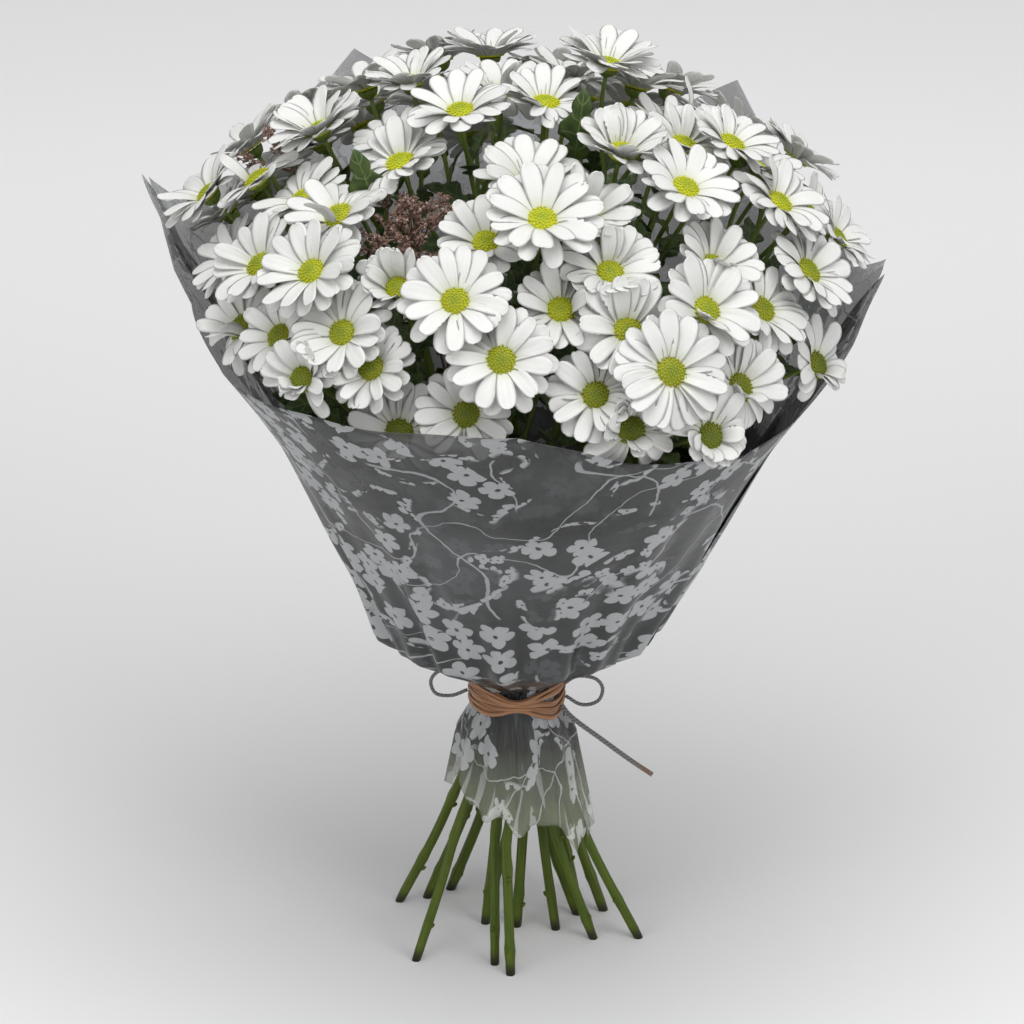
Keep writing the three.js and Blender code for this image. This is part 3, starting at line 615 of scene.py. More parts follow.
def disc_finish():
    f = Finish("disc florets")
    out, height, painted_light = f.split(f.lie())
    speck = f.noise(f.place(), 900.0, 2.0)
    # Painted light: discs higher in the bunch are lighter lime, lower ones darker olive, each disc's share
    # varied a little at random
    disc_in_painted_shade = f.mix(out.rising(0.0, 0.9), (0.075, 0.11, 0.005), (0.17, 0.19, 0.006))
    disc_in_painted_light = f.mix(out.rising(0.0, 0.8), (0.28, 0.36, 0.006), (0.56, 0.58, 0.006))
    colour = f.mix(painted_light, disc_in_painted_shade, disc_in_painted_light)
    colour = f.mix(speck.rising(0.35, 0.7) * 0.35, colour, (0.13, 0.16, 0.006))
    tips = f.mix(painted_light, (0.26, 0.29, 0.01), (0.66, 0.66, 0.012))
    f.set(Base_Color=f.mix(height.rising(0.3, 1.0) * 0.45, colour, tips), Roughness=0.7)
    f.bump(speck, 0.5, 0.0004)
    return f.material


def stem_finish():
    f = Finish("green stems")
    run, turn, _ = f.split(f.lie())
    place = f.place()
    z = f.split(place)[2]
    streak = f.noise(f.join(run * 25.0, turn * 2.2, 0.0), 1.0)
    blotch = f.noise(place, 45.0, 4.0)
    colour = f.mix(streak.rising(0.3, 0.7), colours().stem, (0.09, 0.13, 0.005))
    colour = f.mix(blotch.rising(0.56, 0.7) * 0.4, colour, (0.1, 0.12, 0.025))
    cut_end, stalks = z.rising(0.011, 0.002), z.rising(0.24, 0.4)
    colour = f.mix(cut_end * 0.9, colour, (0.02, 0.02, 0.008))
    colour = f.mix(stalks * 0.75, colour, (0.15, 0.21, 0.04))
    f.set(Base_Color=colour, Roughness=0.5, Specular_IOR_Level=0.3)
    f.bump((turn * 10.0).sine() * 0.5 + streak * 0.8, 0.3, 0.0005)
    return f.material


def leaf_finish():
    f = Finish("lobed leaves")
    along, across, _ = f.split(f.lie())
    wide = abs(across)
    midrib = wide.rising(0.09, 0.0)
    lateral = ((along * 5.2 - wide * 0.75) * math.tau).sine().rising(0.86, 0.99) * wide.rising(1.0, 0.7)
    blotch = f.noise(f.place(), 120.0)
    colour = f.mix(blotch.rising(0.35, 0.7), colours().leaf, (0.075, 0.115, 0.02))
    f.set(Base_Color=f.mix(midrib.largest(lateral * 0.7), colour, (0.13, 0.2, 0.06)), Roughness=0.55)
    f.bump(midrib * -0.8 - lateral * 0.7 + blotch * 0.5, 0.4, 0.0008)
    return f.material


def dried_finish():
    f = Finish("dried buds")
    pale = f.split(f.lie())[0]
    speck = f.noise(f.place(), 700.0, 4.0)
    colour = f.mix(speck.rising(0.3, 0.7), colours().dried, (0.27, 0.16, 0.13))
    f.set(Base_Color=f.mix(pale.rising(0.45, 1.0), colour, (0.5, 0.39, 0.33)), Roughness=0.9)
    f.bump(speck, 0.8, 0.0006)
    return f.material


def blossoms(f, vector, cell, offset, petals):
    """Blossoms strewn at random, one in a cell: 1 on a petal, 0 beside it."""
    shifted = f.vector_maths("ADD", vector, (offset, offset * 0.37, 0.0))
    middle = f.node("ShaderNodeTexVoronoi", {"voronoi_dimensions": "2D", "feature": "F1"},
                    {"Vector": shifted, "Scale": 1 / cell, "Randomness": 0.8}, "Position")
    x, y, _ = f.split(f.vector_maths("SUBTRACT", shifted, middle))
    first, second, _ = f.split(Signal(f, middle.socket.node.outputs["Color"]))
    reach = (x * x + y * y) ** 0.5 / cell
    turn = y.turned(x) * (petals / 2) + first * 6.0
    edge = (abs(turn.sine()) ** 0.55 * 0.5 + 0.5) * (second * 0.12 + 0.42)
    return (edge - reach).rising(0.0, 0.03) * reach.rising(0.05, 0.08) * first.rising(0.18, 0.2)


def vines(f, vector, spacing, turned, width):
    """Thin lines that wander across the film in one direction, with gaps."""
    x, y, _ = f.split(vector)
    wander = f.noise(vector, 11.0 + 4 * turned, 0.0, flat=True)
    level = (x * math.cos(turned) + y * math.sin(turned)) / spacing + wander * 1.7
    away = abs(level - level.floor() - 0.5)
    gaps = f.noise(vector, 14.0 - 4 * turned, 0.0, flat=True)
    return away.rising(width / spacing * 1.6, width / spacing * 0.8) * gaps.rising(0.46, 0.5)


def film_finish():
    """Clear grey film, paler in the skirt and at the rim, with blossoms and vines printed on it."""
    f = Finish("printed film")
    lie = f.lie()
    height = f.split(lie)[2]
    skirt, rim = height.rising(0.16, 0.09), height.rising(0.43, 0.5)
    warp = f.noise(lie, 55.0, 2.0, flat=True, output="Color")
    bent = f.vector_maths("MULTIPLY_ADD", warp, (0.007, 0.007, 0.0), lie)
    grove = f.noise(lie, 16.0, 1.0, flat=True) + skirt * 0.09
    big = blossoms(f, bent, 0.0235, 3.1, 5) * grove.rising(0.47, 0.49)
    small = blossoms(f, bent, 0.0125, 7.7, 4) * grove.rising(0.43, 0.45) * grove.rising(0.51, 0.49)
    sprays = vines(f, bent, 0.062, 0.5, 0.0009).largest(vines(f, bent, 0.05, 2.1, 0.0007))
    behind = blossoms(f, bent, 0.0185, 12.3, 5) * grove.rising(0.47, 0.43)
    ink = big.largest(small).largest(sprays * 0.85)
    murk = f.noise(lie, 12.0, flat=True)
    film = f.mix(murk.rising(0.35, 0.65), colours().film, (0.055, 0.057, 0.059))
    film = f.mix(rim * 0.6, film, (0.22, 0.225, 0.23))
    film = f.mix(skirt, film, (0.3, 0.32, 0.24))
    film = f.mix(behind * 0.3, film, (0.14, 0.145, 0.15))
    colour = f.mix(ink, film, f.mix(skirt, colours().film_print, (0.62, 0.64, 0.6)))
    x, y, _ = f.split(f.place())
    turn = x.turned(y * -1)
    # Painted shade: near-black streaks in the creases of the gathered film, in a band round the tie
    painted_crease_shade = f.noise(f.join(turn * 5.0, height * 70.0, 0.0), 1.0).rising(0.5, 0.6)
    painted_crease_shade = painted_crease_shade * abs(height - 0.19).rising(0.034, 0.01)
    dense = height.rising(0.17, 0.2) * height.rising(0.4, 0.34)
    alpha = (0.6 - skirt * 0.25 - rim * 0.12 + ink * (0.22 + skirt * 0.1)).largest(dense * 0.93)
    f.set(Base_Color=f.mix(painted_crease_shade * 0.85, colour, (0.008, 0.008, 0.009)), Roughness=0.32, Alpha=alpha,
          Specular_IOR_Level=0.45)
    pleats = f.noise(f.join(turn * 9.0, height * 5.0, 0.0), 1.0, 2.0) * abs(height - 0.173).rising(0.11, 0.01)
    f.bump(f.noise(lie, 38.0, flat=True) * 0.5 + pleats * 2.2, 0.5, 0.003)
    return f.material


def raffia_finish():
    f = Finish("brown raffia")
    run, across, chance = f.split(f.lie())
    fibre = f.noise(f.join(run * 40.0, across * 3.5, chance * 7.0), 1.0, 4.0, 0.6)
    colour = f.mix(fibre.rising(0.3, 0.7), colours().raffia, (0.16, 0.06, 0.02))
    f.set(Base_Color=f.mix(chance * 0.4, colour, (0.5, 0.26, 0.12)), Roughness=0.75, Sheen_Weight=0.2)
    f.bump(fibre, 0.7, 0.0006)
    return f.material


def cord_finish():
    f = Finish("twisted cord")
    run, turn, brown = f.split(f.lie())
    strands = (run * 2400.0 + turn * 3.0).sine()
    fuzz = f.noise(f.place(), 1500.0)
    colour = f.mix(strands.rising(-0.4, 0.8), (0.1, 0.105, 0.105), colours().cord)
    colour = f.mix(fuzz.rising(0.4, 0.7) * 0.5, colour, (0.22, 0.22, 0.22))
    f.set(Base_Color=f.mix(brown, colour, (0.19, 0.12, 0.075)), Roughness=0.8, Sheen_Weight=0.3)
    f.bump(strands + fuzz * 0.6, 0.6, 0.0005)
    return f.material


def floor_finish():
    f = Finish("pale floor")
    place = f.place()
    grain = f.noise(place, 3.0, 2.0)
    # Painted shadow: the floor is darkest in a broad band behind the bunch, around y = 0.35 m, and paler away
    # from it
    pale = f.mix(abs(f.split(place)[1] - 0.35).rising(0.0, 1.1), (0.68, 0.68, 0.68), (0.88, 0.88, 0.88))
    f.set(Base_Color=f.mix(grain.rising(0.3, 0.7) * 0.04, pale, (0.9, 0.9, 0.9)), Roughness=0.8)
    return f.material


# ---------------------------------------------------------------- blooms

def ring_on(item, turns, radius, z):
    """A ring round an item's axis."""
    return upon(item, turned(turns, radius, z))


def petal_half_width(share):
    slender = 0.56 + 0.44 * np.sin(np.clip(share / 0.7, 0, 1) * math.pi / 2) ** 1.2
    blunt = np.sqrt(np.clip(1 - (np.clip(share - 0.7, 0, 1) / 0.305) ** 2.5, 0, 1))
    return slender * np.clip(blunt, 0.1, 1)


def petal_blade(reach, width, pitch, own, root, rise):
    """One ribbed petal along +X with its top to +Z, as rings of points; own says how it varies."""
    s, v = PETAL_STATIONS[:, None], PETAL_SIDES
    half = width * petal_half_width(s)
    arch = 1.5 * np.sin(math.pi * np.clip(s * 1.1, 0, 1)) + own["curl"] * s ** 3
    cupped = own["hollow"] * half * (v ** 2 - 0.4) * np.sin(math.pi * np.minimum(1, 0.25 + s))
    lift = PETAL_RIBS * np.minimum(1, 4 * s) * (1 - 0.4 * s) + PETAL_DEPTHS + cupped
    lean, aside = math.radians(own["twist"]) * s, v * half
    up = aside * np.sin(lean) + lift * np.cos(lean) + arch
    notch = own["notch"] * (np.cos(v * 6.2) - 1) * (s > 0.93)
    x = root + reach * s * math.cos(pitch) - up * math.sin(pitch) + notch
    y = aside * np.cos(lean) - lift * np.sin(lean) + own["bow"] * s ** 2
    return np.stack([x, y, rise + reach * s * math.sin(pitch) + up * math.cos(pitch)], axis=-1)


def turned_about_z(turn):
    return np.array([[math.cos(turn), math.sin(turn), 0], [-math.sin(turn), math.cos(turn), 0], [0, 0, 1]])


def petal_reach(head, root):
    return HEAD["spread"] * HEAD["radius"] * head["size"] - root


def petal_trial(head, turn, pitches, lengths, width, root):
    """Outline points of a petal for every pitch and length tried at once."""
    pitches, lengths = pitches[..., None], lengths[..., None]
    reach = petal_reach(head, root) * lengths * TRIED_SHARES
    out = root + reach * np.cos(pitches)
    up = reach * np.sin(pitches) + 1.3 * np.sin(math.pi * np.clip(TRIED_SHARES, 0, 1)) + 0.6
    local = np.stack([out, width * TRIED_SIDES + 0 * out, up], axis=-1)
    return upon(head, local @ turned_about_z(turn))


def settle(head, turn, natural, walls, width, root):
    """The lean and length nearest to the natural ones that keep a petal clear of what is around it."""
    steps, lengths = np.meshgrid(LEAN_STEPS, LENGTHS)
    pitches = natural + steps * LEAN_STEP
    trial = petal_trial(head, turn, pitches, lengths, width, root)
    ok = fits(trial, walls, -HEAD["mingle"]) & (pitches < STEEPEST)
    if not ok.any():
        return natural + LAST_LEAN, LENGTHS[-1]
    best = np.argmin(np.where(ok, np.abs(steps) + (1 - lengths) * LENGTH_WEIGHT, np.inf))
    return pitches.ravel()[best], lengths.ravel()[best]


def add_bloom(shape, head, number):
    """Two rows of petals round a disc, each petal leaning as far as its neighbours allow."""
    chance = random.Random(900 + number)
    walls = walls_of(head, ITEMS if number < len(HEADS) else ITEMS + DEEP_HEADS)
    count = sizes().petals_in_a_bloom + chance.choice([-2, 0, 1, 3])
    lifted = (1 - head["opening"]) * CUP + TOP_CUP * fade(head["centre"][2], *CUPPED_FROM)
    start = chance.random() * math.pi
    for k in range(count):
        row = k % 2
        own = {name: chance.uniform(*limits) for name, limits in PETAL.items()}
        turn = start + 2 * math.pi * (k + own["turn"]) / count
        natural = ROW_PITCH[row] + lifted + math.radians(own["lean"])
        width = sizes().petal_width / MM / 2 * head["size"] * own["width"]
        root = HEAD["root"] - row
        pitch, length = settle(head, turn, natural, walls, width, root)
        reach = petal_reach(head, root) * length * own["length"]
        blade = petal_blade(reach, width * (0.7 + 0.3 * length), pitch, own, root, 0.2 + 0.5 * row)
        lies = np.stack(np.broadcast_arrays(PETAL_STATIONS[:, None], PETAL_SIDES, chance.random()), axis=-1)
        shape.loft(upon(head, blade @ turned_about_z(turn)), lies)
    add_disc(shape, head, chance)


def add_disc(shape, head, chance):
    """A low dome closely set with florets in a spiral; painted light makes it lighter towards the top of the
    bunch.
    """
    radius = sizes().disc_width / MM / 2 * (0.6 + 0.4 * head["size"])
    # Painted light: the share of lighter lime grows with the height of the head, scaled a little at random
    painted_light = fade(head["centre"][2], *PAINTED_LIGHT_FROM) * chance.uniform(0.75, 1)

    def level(share):
        return DISC["height"] * (1 - share ** DISC["fall"]) + DISC["edge"]

    profile = [(0.96, -0.6), (1.0, 0.3)] + [(share, level(share)) for share in (0.9, 0.7, 0.4, 0.1)]
    turns = ring_turns(DISC["sides"])
    shape.loft([ring_on(head, turns, share * radius, z) for share, z in profile],
               [[(share, 0.0, painted_light)] * len(turns) for share, _ in profile], 1)
    sides = DISC["floret_sides"]
    for i in range(DISC["florets"]):
        share = 0.97 * math.sqrt((i + 0.5) / DISC["florets"])
        way = turned(i * GOLDEN_TURN, 1, 0)
        slope = DISC["height"] * DISC["fall"] * share ** (DISC["fall"] - 1) / radius
        foot = way * share * radius + vec(0, 0, level(share) - 0.3)
        lean = unit(way * slope + vec(0, 0, 1))
        tall = (0.75 + 0.75 * share ** 2) * chance.uniform(0.8, 1.2)
        rim = circle(ring_turns(sides) + i, *square_to(lean, vec(0.2, 0.9, 0.1))) * (0.62 + 0.12 * share)
        shape.loft([upon(head, foot + lean * tall * up + rim * wide)
                    for up, wide in ((0, 1), (0.8, 0.9), (1, 0.35))],
                   [[(share, up, painted_light)] * sides for up in (0.0, 0.7, 1.0)], 1)


def heads_by_node():
    """Each solid of heads with the heads whose middles it holds, and the deep ones nearest to those."""
    groups, clouds = {}, {}
    for name in sorted(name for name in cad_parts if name.startswith("heads_")):
        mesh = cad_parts[name].data
        points = np.empty(len(mesh.vertices) * 3)
        mesh.vertices.foreach_get("co", points)
        groups[name], clouds[name] = [], points.reshape(-1, 3) / MM
    owners = []
    for head in HEADS:
        crown = head["centre"] + head["axis"] * (DISC["height"] + DISC["edge"])
        owners.append(min(groups, key=lambda name: np.linalg.norm(clouds[name] - crown, axis=1).min()))
    for head in DEEP_HEADS:
        away = [np.linalg.norm(other["centre"] - head["centre"]) for other in HEADS]
        owners.append(owners[np.argmin(away)])
    for number, (head, owner) in enumerate(zip(HEADS + DEEP_HEADS, owners)):
        groups[owner].append((number, head))
    return groups


# ---------------------------------------------------------------- stems, stalks and leaves

def stem_path(spray):
    foot, neck, fork = spray["foot"], spray["neck"], spray["fork"]
    lower = (foot + (neck - foot) * 0.42) * vec(0.9, 0.9, 1)
    return smooth_path([foot, lower, neck, fork], STEM["steps"])


def add_stem(shape, path, chance):
    """A ribbed stem that swells at its joints, with the scar of a side shoot at each of the lower ones."""
    run = np.linspace(0, runs_along(path)[-1], len(path))
    joints = []
    at = chance.uniform(*STEM["first_joint"])
    while at < run[-1] - STEM["bare_top"]:
        joints.append(at)
        at += chance.uniform(*STEM["joint_spacing"])
    swell = sum(np.exp(-((run - joint) / 3.2) ** 2) for joint in joints)
    girth = STEM["radius"] * chance.uniform(0.92, 1.08)
    radii = girth * np.interp(run / run[-1], [0.5, 1], [1, STEM["tip"]]) * (1 + STEM["swell"] * swell)
    radii[0] *= 0.96
    shape.tube(path, radii, STEM["sides"], ribs=0.045, level_foot=True, seed=chance.random())
    for joint in joints:
        i = min(int(joint / run[-1] * (len(path) - 1)), len(path) - 2)
        ahead = unit(path[i + 1] - path[i])
        side = unit(np.cross(ahead, vec(chance.uniform(-1, 1), chance.uniform(-1, 1), 0.1)))
        low = path[i] + side * girth * 0.7
        tip = path[i] + side * (girth + 1.3) + ahead * 2.6
        if path[i][2] < STEM["scars_below"]:
            shape.tube([low, (low + tip) / 2 + side * 0.4, tip], [1.7, 1.35, 0.8], 7)


def add_stalk(shape, spray, item, order, root, tip, chance):
    """A stalk from near the fork of a spray to the foot of an item; returns its path."""
    rise = unit(spray["fork"] - spray["neck"])
    start = spray["fork"] + rise * (-3 - STALK["step"] * order)
    end = item["centre"] - item["axis"] * root
    bend = end - item["axis"] * 0.45 * np.linalg.norm(item["centre"] - start)
    t = np.linspace(0, 1, STALK["steps"])[:, None]
    path = start * (1 - t) ** 2 + 2 * bend * t * (1 - t) + end * t ** 2
    shape.tube(path, STALK["radius"] * np.linspace(STALK["foot"], tip, len(path)), STALK["sides"],
               seed=chance.random())
    return path


def add_bloom_stalk(shape, spray, head, order, chance):
    path = add_stalk(shape, spray, head, order, CALYX["depth"], 0.95, chance)
    add_calyx(shape, head)
    return path


def add_calyx(shape, head):
    """Narrow bracts that overlap into a shallow cup under the petals."""
    radius = CALYX["radius"] * head["size"]
    root = -CALYX["depth"]
    turns = ring_turns(CALYX["bracts"] * 4)
    waves = np.cos(CALYX["bracts"] * turns)
    rings, lies = [], []
    for r, up in [(1.5, -0.4), (2.6, 0.2), (4.6, 1.3), (radius * 0.9, 3.2), (radius * 1.02, 5.0),
                  (radius * 0.98, 5.6), (radius * 0.5, 5.4), (0.4, 5.3)]:
        scallop = 1 + 0.07 * waves * fade(up, 0, 3)
        rings.append(ring_on(head, turns, r * scallop, root + up + 0.35 * waves * (up > 4.8)))
        lies.append([((root + up) * MM, turn, 0.3) for turn in turns])
    shape.loft(rings, lies)


def add_leaf(shape, base, tip, facing, width, chance):
    """A blade cut into rounded lobes, folded a little along the midrib."""
    length = np.linalg.norm(tip - base)
    forward = unit(tip - base)
    aside = unit(np.cross(forward, facing))
    up = np.cross(aside, forward)
    v = np.concatenate([np.linspace(-1, 1, 9), [0.4, -0.4]])
    lift = np.where(np.arange(len(v)) < 9, 0.35, -0.3) * (1 - 0.7 * np.abs(v))
    rings = []
    for share, half in LOBES:
        reach = half * chance.uniform(0.92, 1.08) * width
        fold = np.abs(v) * reach * 0.22 + 0.5 * np.sin(9 * share + 2 * v)
        arch = length * 0.1 * math.sin(math.pi * share)
        swept = share * length - v ** 2 * reach * 0.25
        rings.append(base + np.outer(swept, forward) + np.outer(v * reach, aside)
                     + np.outer(lift + fold + arch, up))
    shape.loft(rings, [[(share, side, 0.0) for side in v] for share, _ in LOBES], 1)


def add_stem_leaves(shape, spray, seed):
    """Two leaves on opposite sides of the stem below its stalks, held inside the film."""
    draw = seeded(seed)
    chance = random.Random(seed)
    rise = unit(spray["fork"] - spray["neck"])
    out = unit(spray["middle"] * vec(1, 1, 0))
    side = unit(np.cross(rise, out))
    for hand in (-1, 1):
        below = LEAF["below"] + STALK["step"] * len(spray["items"]) + LEAF["apart"] * hand
        root = spray["fork"] - rise * below
        lean = unit(side * hand * (0.42 + 0.15 * draw()) + out * 0.3 + rise)
        tip = root + lean * (LEAF["length"] + 8 * draw())
        while not in_film(tip, LEAF["from_film"]):
            tip = tip * vec(0.98, 0.98, 1)
        add_leaf(shape, root, tip, -out, LEAF["width"] + 2 * draw(), chance)


def under_blooms(points):
    """Whether a leaf's points keep below the petals of every bloom, and inside the film."""
    for head in HEADS + DEEP_HEADS:
        offset = points - head["centre"]
        height = offset @ head["axis"]
        level = np.linalg.norm(offset - np.outer(height, head["axis"]), axis=1)
        if ((level < HANGING_LEAF["from_bloom"]) & (height > HANGING_LEAF["below_bloom"])).any():
            return False
    return in_film(points, HANGING_LEAF["from_film"]).all()


def add_hanging_leaves(shape, path, where, chance):
    """Leaves at some places of a path, each turned until it hangs clear under the blooms."""
    for i in where["places"]:
        root, rise = path[i], unit(path[i + 1] - path[i])
        length = chance.uniform(*where["lengths"])
        for _ in range(HANGING_LEAF["tries"]):
            side = unit(np.cross(rise, any_way(chance)))
            lean = unit(rise * chance.uniform(0.2, 1.1) + side)
            tip = root + lean * length
            if under_blooms(np.array([tip, (root + tip) / 2])):
                facing = unit(np.cross(np.cross(lean, root * vec(1, 1, 0) + vec(0, 0, 200)), lean))
                add_leaf(shape, root, tip, facing, length * HANGING_LEAF["width"], chance)
                break


# ---------------------------------------------------------------- film

def closed_sheet(name, grid, lies, thickness, material):
    """A thin closed sheet through a grid of points, one thickness deep towards the axis of the bunch."""
    inward = grid * vec(-1, -1, 0)
    inward /= np.linalg.norm(inward, axis=-1, keepdims=True)
    shape = Shape()
    front = shape.add(grid, lies)
    back = shape.add(grid + inward * thickness, lies)
    shape.net(front)
    shape.net(back.T)
    shape.net(np.stack([back[:, 0], front[:, 0]], axis=1))
    shape.net(np.stack([front[:, -1], back[:, -1]], axis=1))
    shape.net(np.stack([back[0], front[0]]))
    shape.net(np.stack([front[-1], back[-1]]))
    return shape.make(name, [material])


def film_piece(name, rim, inset, seed, material):
    """One sheet of film from its skirt over the neck to its rim, pleated where the band gathers it."""
    chance = random.Random(seed)
    phases = [chance.uniform(0, 2 * math.pi) for _ in range(8)]
    flat_runs = runs_along(FILM_PROFILE)
    grid, lies = [], []
    for degree in np.arange(rim[0][0], rim[-1][0] + 0.1, 1.0):
        turn = math.radians(degree)

        def wave(count, number, shift=0):
            return np.sin(count * turn + phases[number] + shift)

        foot = SKIRT["low"] - SKIRT["slant"] * math.sin(turn) + SKIRT["wave"] * math.sin(5 * turn)
        foot += 4.5 * wave(8, 0) + 3 * wave(15, 1)
        top = table_value(rim, degree) + 1.2 * wave(17, 2)
        z = foot + (top - foot) * np.linspace(0, 1, FILM["rows"])
        above = fade(z, *FILM_FADES["pleats"]) * fade(z, *FILM_FADES["pleats_end"])
        below = fade(z, *FILM_FADES["skirt"])
        gather = (wave(17, 3, z / 60) + 0.8 * wave(29, 4)) * FILM["gather"] * above
        gather += (wave(11, 5) + 0.7 * wave(25, 6)) * FILM["skirt_gather"] * below - 2.0 * below
        slack = FILM["slack"] * wave(3, 7, z / 34) * fade(z, *FILM_FADES["slack"])
        corner = sum(share * math.exp(-((degree - at) / wide) ** 2) for at, wide, share in CURLED_CORNERS)
        curl = FILM["curl"] * corner * fade(z, top - FILM["curl_depth"], top) ** 2
        radius = film_radius(turn, z) - inset + gather + slack + curl
        grid.append(np.column_stack([radius * math.sin(turn), -radius * math.cos(turn), z]))
        run = np.interp(z, [row[0] for row in FILM_PROFILE], flat_runs)
        run = np.where(z > FILM["tie"], run, FILM["tie_run"] - run) * MM
        lies.append(np.column_stack([run * math.sin(turn / 2) + seed, run * math.cos(turn / 2), z * MM]))
    return closed_sheet(name, np.array(grid), np.array(lies), sizes().film_thickness / MM, material)


# ---------------------------------------------------------------- settings a user would change

class BunchSizes(bpy.types.PropertyGroup):
    petal_width: bpy.props.FloatProperty(
        name="Petal width", description="Widest part of one petal", default=0.0119, unit="LENGTH")
    petals_in_a_bloom: bpy.props.IntProperty(
        name="Petals in a bloom", description="Petals round one disc, in two rows", default=22, min=8, max=40)
    disc_width: bpy.props.FloatProperty(
        name="Disc width", description="Width of the domed middle of a bloom", default=0.0184, unit="LENGTH")
    film_thickness: bpy.props.FloatProperty(
        name="Film thickness", description="Thickness of the film as drawn", default=0.0003, unit="LENGTH")


def colour_setting(name, description, default):
    return bpy.props.FloatVectorProperty(name=name, description=description, default=default, size=3,
                                         subtype="COLOR", min=0, max=1)


class BunchColours(bpy.types.PropertyGroup):
    petal: colour_setting("Petal", "White of the petals", (0.67, 0.67, 0.65))
    petal_root: colour_setting("Petal root", "Tint of the petals beside the disc", (0.52, 0.56, 0.33))
    stem: colour_setting("Stem", "Green of stems and stalks", (0.042, 0.07, 0.003))
    leaf: colour_setting("Leaf", "Green of the leaves", (0.028, 0.058, 0.01))
    dried: colour_setting("Dried buds", "Brown of the dried sprigs", (0.13, 0.085, 0.06))
    film: colour_setting("Film", "Grey of the clear film", (0.03, 0.031, 0.032))
    film_print: colour_setting("Film print", "Grey of the printed blossom", (0.36, 0.37, 0.38))
    raffia: colour_setting("Raffia", "Brown of the raffia", (0.36, 0.17, 0.075))
    cord: colour_setting("Cord", "Grey of the bow's cord", (0.19, 0.195, 0.195))


# ---------------------------------------------------------------- operators

class BUNCH_OT_stage(bpy.types.Operator):
    """Make the camera, the soft lights and the pale floor"""
    bl_idname = "bunch.stage"
    bl_label = "Camera, lights and floor"

    def execute(self, context):
        scene = context.scene
        camera = linked("camera", bpy.data.cameras.new("camera"))
        camera.data.lens = WINDOW["scale"] / WINDOW["width"] * WINDOW["sensor"]
        camera.data.sensor_width = WINDOW["sensor"]
        camera.data.clip_end = 100
        camera.location = eye_point() * MM
        camera.rotation_euler = (math.radians(90) - WINDOW["elevation"], 0, 0)
        scene.camera = camera
        scene.view_settings.view_transform = "Standard"
        world = bpy.data.worlds.new("studio")
        scene.world = world
        world.use_nodes = True
        background = world.node_tree.nodes["Background"]
        background.inputs[0].default_value = (0.93, 0.93, 0.94, 1)
        background.inputs[1].default_value = 0.58
        for name, place, width, power in [
            ("overhead", (0.1, -0.4, 2.4), 1.8, 34),
            ("left window", (-2.0, -1.9, 1.7), 1.8, 15),
            ("right window", (2.1, -1.9, 1.8), 1.6, 22),
        ]:
            light = bpy.data.lights.new(name, "AREA")
            light.size = width
            light.energy = power
            lamp = linked(name, light)
            lamp.location = place
            x, y, z = vec(0, 0, 0.35) - place
            lamp.rotation_euler = (math.atan2(math.hypot(x, y), -z), 0, math.atan2(y, x) - math.pi / 2)
        corners = []
        for y, z in [(-12, 0), (3.5, 0), (4.3, 0.12), (4.9, 0.55), (5.2, 1.3), (5.3, 4)]:
            corners += [(-12, y, z), (12, y, z)]
        mesh = bpy.data.meshes.new("floor")
        mesh.from_pydata(corners, [], [(i, i + 1, i + 3, i + 2) for i in range(0, 10, 2)])
        mesh.polygons.foreach_set("use_smooth", [True] * len(mesh.polygons))
        mesh.materials.append(floor_finish())
        linked("floor", mesh)
        return {"FINISHED"}


class BUNCH_OT_bow(bpy.types.Operator):
    """Make the two loops of the bow and its loose end"""
    bl_idname = "bunch.bow"
    bl_label = "Bow cords"

    def execute(self, context):
        finish = cord_finish()
        for name, node, points, radius, far_end, steps in [
            ("bow_cord_left", "bow_loop_left", LOOP_LEFT, CORD_RADIUS, "object", 36),
            ("bow_cord_right", "bow_loop_right", LOOP_RIGHT, CORD_RADIUS, "object", 36),
            ("bow_tail", "loose_end", TAIL, TAIL_RADIUS, "bare", 30),
        ]:
            path = smooth_path(points, steps)
            shape = Shape()
            shape.tube(path, [radius], 12)
            if far_end == "bare":
                # The last centimetre before the cut is brown
                lies = shape.lies[0]
                lies[:, 2] = 0.15 + 0.85 * np.clip((lies[:, 0] - lies[:, 0].max() + 0.012) / 0.004, 0, 1)
            piece = shape.make(name, [finish])
            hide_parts(node)
        return {"FINISHED"}


